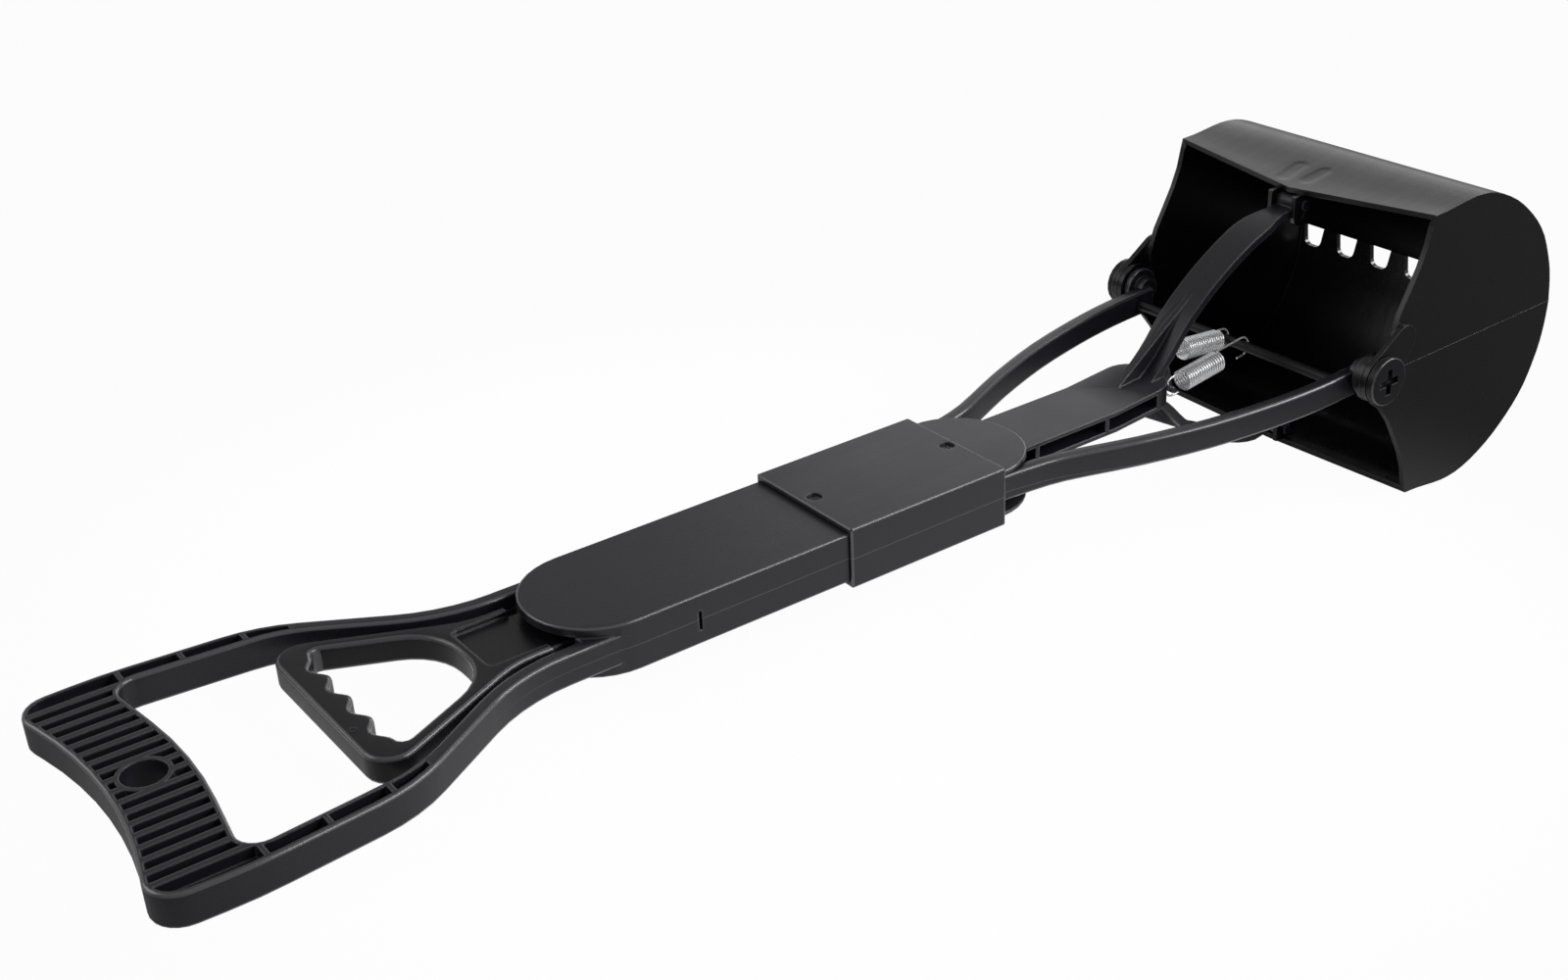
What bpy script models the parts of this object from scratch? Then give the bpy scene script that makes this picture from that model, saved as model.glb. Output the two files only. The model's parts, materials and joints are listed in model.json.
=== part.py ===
"""Jaw pooper scooper with a long handle, a D grip, a sliding trigger and two sprung scoops.

Metres, +Z up. The tool is modelled along +X in a frame whose origin lies below the
scoops' pivot axis, on the middle plane of the handle, and is then laid on the floor.
"""

from math import acos, atan2, ceil, cos, hypot, pi, sin, tan

import bmesh
import bpy
from mathutils import Matrix, Vector

# Clearances and finish
FIT_GAP = 0.0003
SLIDE_GAP = 0.0004
TURN_GAP = 0.0006
OVERRUN = 0.0030
FACET_DEPTH = 0.00012
WELD_DISTANCE = 0.000001
EDGE_ANGLE = 0.8
SMOOTH_ANGLE = 0.6
SIDE_TAKEN_SHARE = 0.98
LEAST_CIRCLE_STEPS = 12
WIDEST_STEP = pi / 5

# The stroke of the trigger and the scoops' pivot
STROKE = 0.0360
PIVOT_RISE = 0.0134

# The sleeve that joins the handle to the fork
PIVOT_TO_SLEEVE = 0.1696
SLEEVE_LENGTH = 0.0764
SLEEVE_WIDTH = 0.0600
SLEEVE_HEIGHT = 0.0252
SLEEVE_EDGE_RADIUS = 0.0008
SCREW_INSET_REAR = 0.0057
SCREW_INSET_FRONT = 0.0046
SCREW_RADIUS = 0.0014
SCREW_HEAD_RADIUS = 0.0029
SCREW_HEAD_HEIGHT = 0.0010
SCREW_SLOT_WIDTH = 0.0007
SCREW_SLOT_DEPTH = 0.0004
SCREW_CROSS_SHARE = 0.62

# The shaft, a flat hollow box with round plates at its rear end
SHAFT_LENGTH = 0.0920
SHAFT_WIDTH = 0.0570
SHAFT_HEIGHT = 0.0202
SHAFT_WALL = 0.0017
SHAFT_SIDE_WALL = 0.0026
SHAFT_EDGE_RADIUS = 0.0007
GUIDE_WALL = 0.0020
SIDE_CELL_SETBACK = 0.0080
MOUTH_WALL = 0.0034

# The D grip
GRIP_LENGTH = 0.1914
GRIP_WIDTH = 0.1338
GRIP_THICKNESS = 0.0125
GRIP_EDGE_RADIUS = 0.0011
GRIP_BAR_DEPTH = 0.0327
GRIP_HOLLOW = 0.0168
WINDOW_HOLLOW = 0.0082
WAIST_WIDTH = 0.0552
WAIST_LEG_WIDTH = 0.0057
LEG_WIDTH = 0.0090
WAIST_RADIUS = 0.0660
SHOULDER_RADIUS = 0.0600
FLANK_RADIUS = 0.1500
GRIP_CORNER_RADIUS = 0.0110
WINDOW_CORNER_RADIUS = 0.0075
GRIP_WAIST_SHARE = 0.2437
GRIP_SHOULDER_SHARES = (0.5373, 0.924)
GRIP_FLANK_SHARE = 0.8301
GRIP_REAR_WIDTH_SHARE = 0.98
RIM_WIDTH = 0.0019
POCKET_DEPTH = 0.0045
POCKET_LENGTH = 0.0966
POCKET_DIVIDER_SHARES = (0.3920, 0.6155, 0.845)
DIVIDER_WIDTH = 0.0018
GRIP_RIB_PITCH = 0.0066
GRIP_RIB_WIDTH = 0.0026
HANG_HOLE_RADIUS = 0.0077
HANG_RING_WALL = 0.0016
HANG_HOLE_INSET = 0.0156

# The trigger and its tail
TRIGGER_REACH = 0.1082
TRIGGER_THICKNESS = 0.0102
TRIGGER_EDGE_RADIUS = 0.0013
TRIGGER_BAR_DEPTH = 0.0120
TRIGGER_WIDTH = 0.0980
TRIGGER_SLOPE = 0.479
TRIGGER_CORNER_RADIUS = 0.0100
TRIGGER_WAIST_RADIUS = 0.0350
TRIGGER_WINDOW_LENGTH = 0.0412
TRIGGER_SIDE_WIDTH = 0.0055
TRIGGER_WINDOW_CORNER_RADIUS = 0.0035
TRIGGER_NOSE_RADIUS = 0.0235
FINGER_DEPTH = 0.0040
FINGER_COUNT = 4
FINGER_SPAN_SHARE = 0.86
FINGER_STEPS = 10
TAIL_WIDTH = 0.0358
TAIL_RAIL_WIDTH = 0.0035
TAIL_WEB_THICKNESS = 0.0052
TAIL_POCKET_LENGTH = 0.0232
TAIL_POCKET_CORNER_RADIUS = 0.0025
SLIDER_WIDTH = 0.0370
SLIDER_LENGTH = 0.0200
SLIDER_REAR_WALL = 0.0030

# The flat key that couples the wishbone's rod to the trigger's tail
KEY_FROM_PLATE = 0.0250
KEY_THICKNESS = 0.0011
KEY_HEIGHT = 0.0072
KEY_DROP = 0.0006

# The wishbone: a flat rod and two curved strips
ROD_WIDTH = 0.0308
ROD_HEIGHT = 0.0093
ROD_RISE = 0.00335
ROD_WEB_THICKNESS = 0.0030
ROD_FLANGE_THICKNESS = 0.0018
ROD_RIB_PITCH = 0.0390
ROD_RIB_WIDTH = 0.0020
ROD_FIRST_RIB = 0.0300
ROD_NOSE_RADIUS = 0.0110
ROD_TONGUE_WIDTH = 0.0172
ROD_TONGUE_DROP = 0.0050
BEND_FROM_PIVOT = 0.0950
THROAT_FROM_PIVOT = 0.0595
STRIP_WIDTH = 0.0160
STRIP_TIP_WIDTH = 0.0100
STRIP_THICKNESS = 0.0036
STRIP_TAPER_LENGTH = 0.0110
STRIP_ROOT_SHARE = 0.36
GUSSET_THICKNESS = 0.0026
GUSSET_BACK = 0.0094
GUSSET_RISE = 0.0042
GUSSET_SINK_SHARE = 0.7
GUSSET_END_SHARE = 0.46
THROAT_SHARE = 0.5
LINK_FORWARD = 0.0220
LINK_RISE = 0.0538
LINK_EYE_RADIUS = 0.0036
LINK_PIN_RADIUS = 0.0016
LINK_HEAD_RADIUS = 0.0025
LINK_HEAD_THICKNESS = 0.0010
STRIP_SHARES = ((0.0, 0.03), (0.135, 0.215), (0.25, 0.435), (0.345, 0.575), (0.47, 0.72),
                (0.66, 0.885), (0.84, 0.965), (1.0, 0.972))

# The fork: plates, cheeks and two arms
PLATE_REACH = 0.0276
PLATE_RADIUS = 0.0280
ARM_THICKNESS = 0.0058
ARM_HEIGHT = 0.0114
ARM_EDGE_RADIUS = 0.0012
ARM_SPREAD = 0.1268
ARM_ROOT_WIDTH = 0.0540
ARM_ROOT_DEPTH = 0.0140
ARM_ROOT_RISE = 0.0008
ARM_TIP_DROP = 0.0036
ARM_SHARES = ((0.0, -0.03), (0.074, 0.0), (0.14, 0.045), (0.2375, 0.154), (0.401, 0.4835), (0.564, 0.742),
              (0.728, 0.907), (0.864, 0.984), (1.0, 1.0))
BOSS_NECK_RADIUS = 0.0054
BOSS_ROOT_DEPTH = 0.0030
BOSS_FLANGE_RADIUS = 0.0090
BOSS_FLANGE_THICKNESS = 0.0030
BOSS_LENGTH = 0.0101
BOSS_EDGE_RADIUS = 0.0006

# The crossbar and its two springs
CROSSBAR_RADIUS = 0.0022
CROSSBAR_FROM_PIVOT = 0.0090
CROSSBAR_DROP = 0.0040
CROSSBAR_SEAT_DEPTH = 0.0042
SPRING_OFFSET = 0.0058
SPRING_WIRE_RADIUS = 0.00045
SPRING_COIL_RADIUS = 0.00435
SPRING_TURNS = 16
SPRING_PITCH = 0.00137
SPRING_POINTS_PER_TURN = 9
SPRING_TAIL_LENGTH = 0.0030
SPRING_REAR_LEG = 0.0055
SPRING_FRONT_LEG = 0.0030
ANCHOR_POST_RADIUS = 0.0013
ANCHOR_POST_LENGTH = 0.0058
ANCHOR_FIN_THICKNESS = 0.0056
ANCHOR_FIN_REACH = 0.0074
ANCHOR_LOW_SHARE = -0.30
ANCHOR_HIGH_SHARE = 0.48
FIN_HEIGHT = 0.0130

# The scoops
SCOOP_WIDTH = 0.1408
SCOOP_REACH = 0.1170
SCOOP_RISE = 0.0662
SCOOP_WALL = 0.0024
SCOOP_SHARES = ((1.0, 0.0), (0.993, 0.13), (0.979, 0.26), (0.955, 0.38), (0.913, 0.535), (0.855, 0.665),
                (0.786, 0.775), (0.715, 0.865), (0.625, 0.945), (0.54, 0.99), (0.455, 1.0), (0.37, 0.985),
                (0.305, 0.972), (0.242, 0.967))
SCOOP_REAR_SHARES = ((0.232, 0.90), (0.215, 0.77), (0.185, 0.64), (0.142, 0.50), (0.102, 0.375),
                     (0.082, 0.275))
SCOOP_DIP_DROP = 0.0035
SCOOP_DIP_SETBACK = 0.0085
SCOOP_DIP_SHARE = 0.52
LIP_GAP = 0.0005
LIP_RISE = 0.0023
HUB_RADIUS = 0.0106
UPPER_HUB_CORNER_SHARES = (0.72, 1.15)
LOWER_HUB_CORNER_SHARES = (0.55, 1.62)
LOWER_HUB_EDGE_SHARE = 1.2
HUB_TAB_SHARES = (0.115, 0.21)
HUB_TAB_RADIUS = 0.0065
HUB_ROOT_RADIUS = 0.0058
HUB_INSET = 0.00001
TOOTH_GAP_PITCH = 0.0202
TOOTH_GAP_COUNT = 7
TOOTH_GAP_WIDTH = 0.0132
TOOTH_GAP_DEPTH = 0.0102
TOOTH_GAP_END_HALF = 0.0044
TOOTH_GAP_ROUND_SHARE = 0.8
TOOTH_GAP_REACH = 0.0144
LUG_THICKNESS = 0.0020
LUG_GAP = 0.0005
LUG_HALF_LENGTH = 0.0050
LUG_LEAN = 0.0011
LUG_ROOT_SHARES = (0.985, 1.003)
LUG_ROUND_SHARE = 0.8
LUG_FOOT = 0.0048
SLOT_SPARE = 0.0004
WALL_SINK_SHARE = 0.55

# The pivot pins
PIN_RADIUS = 0.0030
PIN_HEAD_THICKNESS = 0.0036
PIN_CROSS_LENGTH = 0.0116
PIN_CROSS_WIDTH = 0.0034
PIN_CROSS_DEPTH = 0.0024
PIN_EDGE_RADIUS = 0.0006
PIN_SEAT_DEPTH = 0.0012

# Places that follow from the sizes above
SLEEVE_FRONT = -PIVOT_TO_SLEEVE
SLEEVE_REAR = SLEEVE_FRONT - SLEEVE_LENGTH
BUTT_JOINT = (SLEEVE_FRONT + SLEEVE_REAR) / 2
PLATE_CENTRE = SLEEVE_REAR - SHAFT_LENGTH
GRIP_REAR = PLATE_CENTRE - GRIP_LENGTH
HANG_HOLE_X = GRIP_REAR + GRIP_HOLLOW / 2 + HANG_HOLE_INSET
CHANNEL_HALF_HEIGHT = SHAFT_HEIGHT / 2 - SHAFT_WALL
SHAFT_CHANNEL_HALF = SLIDER_WIDTH / 2 + SLIDE_GAP
FORK_CHANNEL_HALF = ROD_WIDTH / 2 + TURN_GAP
KEY_X = PLATE_CENTRE + KEY_FROM_PLATE
KEY_Z = -KEY_DROP
SLIDER_REAR = KEY_X - SLIDER_LENGTH / 2 + FIT_GAP
CHANNEL_REAR = SLIDER_REAR - STROKE - FIT_GAP
TRIGGER_REAR = PLATE_CENTRE - TRIGGER_REACH
TRIGGER_FRONT = PLATE_CENTRE - SHAFT_WIDTH / 2
THROAT_X = -THROAT_FROM_PIVOT
ROD_BEND = -BEND_FROM_PIVOT
LINK_RADIUS_FAR = hypot(LINK_FORWARD, LINK_RISE)
LINK_TURN = atan2(LINK_RISE, LINK_FORWARD - STROKE) - atan2(LINK_RISE, LINK_FORWARD)
CROSSBAR_X = -CROSSBAR_FROM_PIVOT
CROSSBAR_Z = PIVOT_RISE - CROSSBAR_DROP
ARM_OUTER = ARM_SPREAD / 2
BOSS_FACE = ARM_OUTER - ARM_THICKNESS + BOSS_LENGTH
SCOOP_SIDE = SCOOP_WIDTH / 2
HUB_INNER = SCOOP_SIDE - SCOOP_WALL
HUB_TAB_INNER = SCOOP_SIDE + FIT_GAP
HUB_TAB_OUTER = HUB_TAB_INNER + SCOOP_WALL
PIN_HEAD_INNER = HUB_TAB_OUTER + FIT_GAP


def empty_scene():
    for obj in list(bpy.data.objects):
        bpy.data.objects.remove(obj, do_unlink=True)


def new_collection(name):
    collection = bpy.data.collections.new(name)
    bpy.context.scene.collection.children.link(collection)
    return collection


def new_empty(name, parent, place):
    empty = bpy.data.objects.new(name, None)
    PARTS.objects.link(empty)
    empty.parent = parent
    empty.location = place
    return empty


def new_material(name, colour, roughness, metallic):
    material = bpy.data.materials.new(name)
    material.use_nodes = True
    surface = material.node_tree.nodes["Principled BSDF"]
    surface.inputs["Base Color"].default_value = (*colour, 1)
    surface.inputs["Roughness"].default_value = roughness
    surface.inputs["Metallic"].default_value = metallic
    return material


def new_object(name, mesh):
    """A mesh object that waits in the cutters' collection until it becomes a part."""
    obj = bpy.data.objects.new(name, mesh)
    CUTTERS.objects.link(obj)
    obj.display_type = "WIRE"
    obj.hide_render = True
    return obj


def make_part(obj, material, parent, origin=(0, 0, 0)):
    """Moves a finished shape and its cutters under the parent, whose place in the tool frame is origin."""
    obj.data.materials.append(material)
    obj.hide_render = False
    obj.display_type = "TEXTURED"
    CUTTERS.objects.unlink(obj)
    PARTS.objects.link(obj)
    obj.data.shade_smooth()
    obj.data.set_sharp_from_angle(angle=SMOOTH_ANGLE)
    hang(obj, parent, Vector(origin))
    return obj


def hang(obj, parent, origin):
    obj.parent = parent
    obj.location = obj.location - origin
    for modifier in obj.modifiers:
        if modifier.type == "BOOLEAN" and modifier.object.parent is None:
            hang(modifier.object, parent, origin)


def arc_steps(radius, angle):
    """How many straight facets an arc needs to stay within the facet depth."""
    widest = 2 * acos(max(1 - FACET_DEPTH / max(radius, FACET_DEPTH), 0.5))
    return max(1, ceil(abs(angle) / min(widest, WIDEST_STEP)))


def rounded(corners):
    """A closed outline through corners (x, y, radius), each rounded as far as its sides allow."""
    count = len(corners)
    spots = [Vector(corner[:2]) for corner in corners]
    turns = []
    reaches = []
    for i in range(count):
        back = spots[i - 1] - spots[i]
        ahead = spots[(i + 1) % count] - spots[i]
        turns.append(pi - back.angle(ahead))
        reaches.append(corners[i][2] * tan(turns[i] / 2))
    shares = [1.0] * count
    for i in range(count):
        j = (i + 1) % count
        side = (spots[j] - spots[i]).length
        share = min(1.0, SIDE_TAKEN_SHARE * side / max(reaches[i] + reaches[j], WELD_DISTANCE))
        shares[i] = min(shares[i], share)
        shares[j] = min(shares[j], share)
    outline = []
    for i in range(count):
        reach = reaches[i] * shares[i]
        if reach < WELD_DISTANCE:
            outline.append(tuple(spots[i]))
            continue
        back = (spots[i - 1] - spots[i]).normalized()
        ahead = (spots[(i + 1) % count] - spots[i]).normalized()
        radius = reach / tan(turns[i] / 2)
        centre = spots[i] + (back + ahead).normalized() * radius / cos(turns[i] / 2)
        spoke = spots[i] + back * reach - centre
        way = 1 if back.x * ahead.y - back.y * ahead.x < 0 else -1
        steps = arc_steps(radius, turns[i])
        for k in range(steps + 1):
            outline.append(tuple(centre + Matrix.Rotation(way * turns[i] * k / steps, 2) @ spoke))
    return outline


def smooth_line(points, steps):
    """An open line that passes smoothly through the points."""
    spots = [Vector(point) for point in points]
    spots = [2 * spots[0] - spots[1], *spots, 2 * spots[-1] - spots[-2]]
    line = []
    for a, b, c, d in zip(spots, spots[1:], spots[2:], spots[3:]):
        for k in range(steps):
            t = k / steps
            bend = (2 * a - 5 * b + 4 * c - d) * t * t + (3 * b - a - 3 * c + d) * t * t * t
            line.append((2 * b + (c - a) * t + bend) / 2)
    line.append(spots[-2])
    return line


def beside(line, distance):
    """The line shifted to its left by the distance."""
    shifted = []
    for i, spot in enumerate(line):
        along = line[min(i + 1, len(line) - 1)] - line[max(i - 1, 0)]
        shifted.append(spot + Vector((-along.y, along.x)).normalized() * distance)
    return shifted


def inset(corners, widths):
    """The corners of an outline whose sides lie inside the given one by their own widths."""
    count = len(corners)
    sides = []
    for i in range(count):
        start = Vector(corners[i][:2])
        way = (Vector(corners[(i + 1) % count][:2]) - start).normalized()
        inward = Vector((-way.y, way.x))
        sides.append((start + inward * widths[i], way, widths[i]))
    result = []
    for i in range(count):
        before, before_way, before_width = sides[i - 1]
        after, after_way, after_width = sides[i]
        cross = before_way.x * after_way.y - before_way.y * after_way.x
        gap = after - before
        along = (gap.x * after_way.y - gap.y * after_way.x) / cross
        spot = before + before_way * along
        change = (before_width + after_width) / 2
        radius = corners[i][2] - change if cross > 0 else corners[i][2] + change
        result.append((spot.x, spot.y, max(radius, 0)))
    return result


def circle(x, y, radius):
    count = max(LEAST_CIRCLE_STEPS, arc_steps(radius, 2 * pi))
    return [(x + radius * cos(2 * pi * k / count), y + radius * sin(2 * pi * k / count))
            for k in range(count)]


def capsule(start, end, start_radius, end_radius):
    """The outline round two circles of any radius."""
    gap = Vector(end) - Vector(start)
    heading = atan2(gap.y, gap.x)
    lean = acos((start_radius - end_radius) / gap.length)
    outline = []
    for (x, y), radius, first, sweep in ((start, start_radius, heading + lean, 2 * pi - 2 * lean),
                                         (end, end_radius, heading - lean, 2 * lean)):
        steps = arc_steps(radius, sweep)
        outline += [(x + radius * cos(first + sweep * k / steps), y + radius * sin(first + sweep * k / steps))
                    for k in range(steps + 1)]
    return outline


VIEWS = {
    "plan": Matrix(((1, 0, 0), (0, 1, 0), (0, 0, 1))),
    "side": Matrix(((1, 0, 0), (0, 0, -1), (0, 1, 0))),
    "front": Matrix(((0, 0, 1), (1, 0, 0), (0, 1, 0))),
}


def prism(name, outlines, low, high, view="plan"):
    """Flat outlines, holes among them, given a thickness: plan along Z, side along Y, front along X."""
    curve = bpy.data.curves.new(name, "CURVE")
    curve.dimensions = "2D"
    curve.fill_mode = "BOTH"
    curve.extrude = (high - low) / 2
    for outline in outlines:
        spline = curve.splines.new("POLY")
        spline.points.add(len(outline) - 1)
        for point, (x, y) in zip(spline.points, outline):
            point.co = (x, y, 0, 1)
        spline.use_cyclic_u = True
    flat = bpy.data.objects.new(name, curve)
    CUTTERS.objects.link(flat)
    turn = VIEWS[view].to_4x4()
    middle = (low + high) / 2 * (-1 if view == "side" else 1)
    flat.matrix_world = turn @ Matrix.Translation((0, 0, middle))
    return solid_from_curve(flat)


def solid_from_curve(holder):
    """Turns a curve object into a welded mesh object, and removes the curve."""
    bpy.context.view_layer.update()
    graph = bpy.context.evaluated_depsgraph_get()
    mesh = bpy.data.meshes.new_from_object(holder.evaluated_get(graph))
    mesh.transform(holder.matrix_world)
    name = holder.name
    bpy.data.objects.remove(holder, do_unlink=True)
    weld(mesh)
    return new_object(name, mesh)


def weld(mesh):
    form = bmesh.new()
    form.from_mesh(mesh)
    bmesh.ops.remove_doubles(form, verts=form.verts, dist=WELD_DISTANCE)
    bmesh.ops.recalc_face_normals(form, faces=form.faces)
    form.to_mesh(mesh)
    form.free()


def grown(outline, distance):
    """An anticlockwise outline with its sides moved outwards by the distance."""
    spots = [Vector(spot) for spot in outline]
    moved = []
    for before, spot, after in zip(spots[-1:] + spots, spots, spots[1:] + spots[:1]):
        back = (spot - before).normalized()
        ahead = (after - spot).normalized()
        outward = Vector((back.y + ahead.y, -back.x - ahead.x)).normalized()
        moved.append(spot + outward * distance / outward.dot(Vector((ahead.y, -ahead.x))))
    return moved


def stack(name, outline, levels, view="plan"):
    """A solid through copies of one outline, each at its own height and grown by its own distance."""
    area = sum(a[0] * b[1] - b[0] * a[1] for a, b in zip(outline, outline[1:] + outline[:1]))
    anticlockwise = outline if area > 0 else outline[::-1]
    way = -1 if view == "side" else 1
    form = bmesh.new()
    rings = []
    for height, growth in levels:
        ring = grown(anticlockwise, growth)
        rings.append([form.verts.new(VIEWS[view] @ Vector((spot.x, spot.y, way * height))) for spot in ring])
    for ring, after in zip(rings, rings[1:]):
        for i in range(len(ring)):
            form.faces.new((ring[i - 1], ring[i], after[i], after[i - 1]))
    form.faces.new(rings[0])
    form.faces.new(rings[-1])
    mesh = bpy.data.meshes.new(name)
    form.to_mesh(mesh)
    form.free()
    weld(mesh)
    return new_object(name, mesh)


def plate(name, outline, low, high, edge, view="plan"):
    """A flat plate with rounded edges."""
    half_way = edge * (1 - sin(pi / 4))
    levels = [(low, -edge), (low + half_way, -half_way), (low + edge, 0),
              (high - edge, 0), (high - half_way, -half_way), (high, -edge)]
    return stack(name, outline, levels, view)


def window(name, outline, low, high, edge):
    """The cutter for a hole through a plate from low to high, with rounded edges."""
    half_way = edge * (1 - sin(pi / 4))
    levels = [(low - OVERRUN, edge), (low, edge), (low + half_way, half_way), (low + edge, 0),
              (high - edge, 0), (high - half_way, half_way), (high, edge), (high + OVERRUN, edge)]
    return stack(name, outline, levels)


def box(name, low, high):
    form = bmesh.new()
    bmesh.ops.create_cube(form, size=1)
    size = Vector(high) - Vector(low)
    middle = (Vector(high) + Vector(low)) / 2
    place = Matrix.Translation(middle) @ Matrix.Diagonal((*size, 1))
    bmesh.ops.transform(form, matrix=place, verts=form.verts)
    mesh = bpy.data.meshes.new(name)
    form.to_mesh(mesh)
    form.free()
    return new_object(name, mesh)


def band(name, outer, inner, halves):
    """A strip between two lines in the side view, with its own half width at each point."""
    form = bmesh.new()
    rings = []
    for near, far, half in zip(outer, inner, halves):
        corners = ((near, -half), (near, half), (far, half), (far, -half))
        rings.append([form.verts.new((spot.x, y, spot.y)) for spot, y in corners])
    for ring, after in zip(rings, rings[1:]):
        for k in range(4):
            form.faces.new((ring[k], ring[k - 1], after[k - 1], after[k]))
    form.faces.new(rings[0])
    form.faces.new(reversed(rings[-1]))
    bmesh.ops.recalc_face_normals(form, faces=form.faces)
    mesh = bpy.data.meshes.new(name)
    form.to_mesh(mesh)
    form.free()
    return new_object(name, mesh)


def soften(obj, width):
    """Rounds the sharp edges of a plain block."""
    bevel = obj.modifiers.new("rounded edges", "BEVEL")
    bevel.width = width
    bevel.segments = 2
    bevel.limit_method = "ANGLE"
    bevel.angle_limit = EDGE_ANGLE
    return obj


def combine(obj, other, operation):
    boolean = obj.modifiers.new(other.name, "BOOLEAN")
    boolean.operation = operation
    boolean.object = other
    boolean.solver = "EXACT"
    return obj


def cut(obj, *others):
    for other in others:
        combine(obj, other, "DIFFERENCE")
    return obj


def join(obj, *others):
    for other in others:
        combine(obj, other, "UNION")
    return obj


def mirrored(corners):
    """Corners on the +Y side, then their mirror images in reverse; one on the axis stays single."""
    return corners + [(x, -y, radius) for x, y, radius in reversed(corners) if abs(y) > WELD_DISTANCE]


def grip_corners():
    """The grip's outer outline, anticlockwise from its front end inside the shaft."""
    half = GRIP_WIDTH / 2
    waist = WAIST_WIDTH / 2
    shoulder_along, shoulder_across = GRIP_SHOULDER_SHARES
    return mirrored([
        (PLATE_CENTRE, waist, 0),
        (PLATE_CENTRE - GRIP_LENGTH * GRIP_WAIST_SHARE, waist, WAIST_RADIUS),
        (PLATE_CENTRE - GRIP_LENGTH * shoulder_along, half * shoulder_across, SHOULDER_RADIUS),
        (PLATE_CENTRE - GRIP_LENGTH * GRIP_FLANK_SHARE, half, FLANK_RADIUS),
        (GRIP_REAR, half * GRIP_REAR_WIDTH_SHARE, GRIP_CORNER_RADIUS),
        (GRIP_REAR + GRIP_HOLLOW, 0, GRIP_LENGTH),
    ])


def window_corners():
    """The hand window: the outer outline drawn in by the legs' widths, with its own rear edge."""
    outer = grip_corners()
    slim = WAIST_LEG_WIDTH
    widths = [slim, slim, LEG_WIDTH, LEG_WIDTH, GRIP_BAR_DEPTH, GRIP_BAR_DEPTH,
              LEG_WIDTH, LEG_WIDTH, slim, slim, slim]
    drawn = inset(outer, widths)
    rear = GRIP_REAR + GRIP_BAR_DEPTH
    flank = drawn[3]
    side = flank[1] + (drawn[2][1] - flank[1]) * (rear - flank[0]) / (drawn[2][0] - flank[0])
    front = CHANNEL_REAR
    return mirrored([
        (front, drawn[1][1], 0),
        drawn[1],
        drawn[2],
        (rear, side, WINDOW_CORNER_RADIUS),
        (rear + WINDOW_HOLLOW, 0, GRIP_LENGTH),
    ])


def grip_pockets():
    """The cutter for the recesses between the rims, crossed by ribs and dividers."""
    outer = inset(grip_corners(), [RIM_WIDTH] * len(grip_corners()))
    inner = inset(window_corners(), [-RIM_WIDTH] * len(window_corners()))
    floor = GRIP_THICKNESS / 2 - POCKET_DEPTH
    top = GRIP_THICKNESS / 2 + OVERRUN
    pocket = prism("grip_pocket", [rounded(outer), rounded(inner)], floor, top)
    half = GRIP_WIDTH / 2
    low = floor - OVERRUN
    high = top + OVERRUN
    pocket_front = GRIP_REAR + POCKET_LENGTH
    cut(pocket, box("pocket_end", (pocket_front, -half, low), (PLATE_CENTRE + OVERRUN, half, high)))
    first_divider = GRIP_REAR + POCKET_LENGTH * POCKET_DIVIDER_SHARES[0]
    ribs = int((half - RIM_WIDTH) / GRIP_RIB_PITCH)
    for k in range(-ribs, ribs):
        middle = (k + 0.5) * GRIP_RIB_PITCH
        side = GRIP_RIB_WIDTH / 2
        cut(pocket, box("grip_rib", (GRIP_REAR - OVERRUN, middle - side, low),
                        (first_divider, middle + side, high)))
    for share in POCKET_DIVIDER_SHARES:
        middle = GRIP_REAR + POCKET_LENGTH * share
        side = DIVIDER_WIDTH / 2
        cut(pocket, box("pocket_divider", (middle - side, -half, low), (middle + side, half, high)))
    ring = circle(HANG_HOLE_X, 0, HANG_HOLE_RADIUS + HANG_RING_WALL)
    return cut(pocket, prism("hang_ring", [ring], low, high))


def side_cells(front, rear, channel_half):
    """The empty cells between the channel's guide walls and the shaft's side walls."""
    cells = []
    for side in (-1, 1):
        near = side * (channel_half + GUIDE_WALL)
        far = side * (SHAFT_WIDTH / 2 - SHAFT_SIDE_WALL)
        cells.append(box("side_cell", (rear, min(near, far), -CHANNEL_HALF_HEIGHT),
                         (front, max(near, far), CHANNEL_HALF_HEIGHT)))
    return cells


def screw_hole(x, radius):
    """A hole straight down through a top wall at this place along the tool."""
    return prism("screw_hole", [circle(x, 0, radius)], CHANNEL_HALF_HEIGHT - OVERRUN, SLEEVE_HEIGHT)


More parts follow.
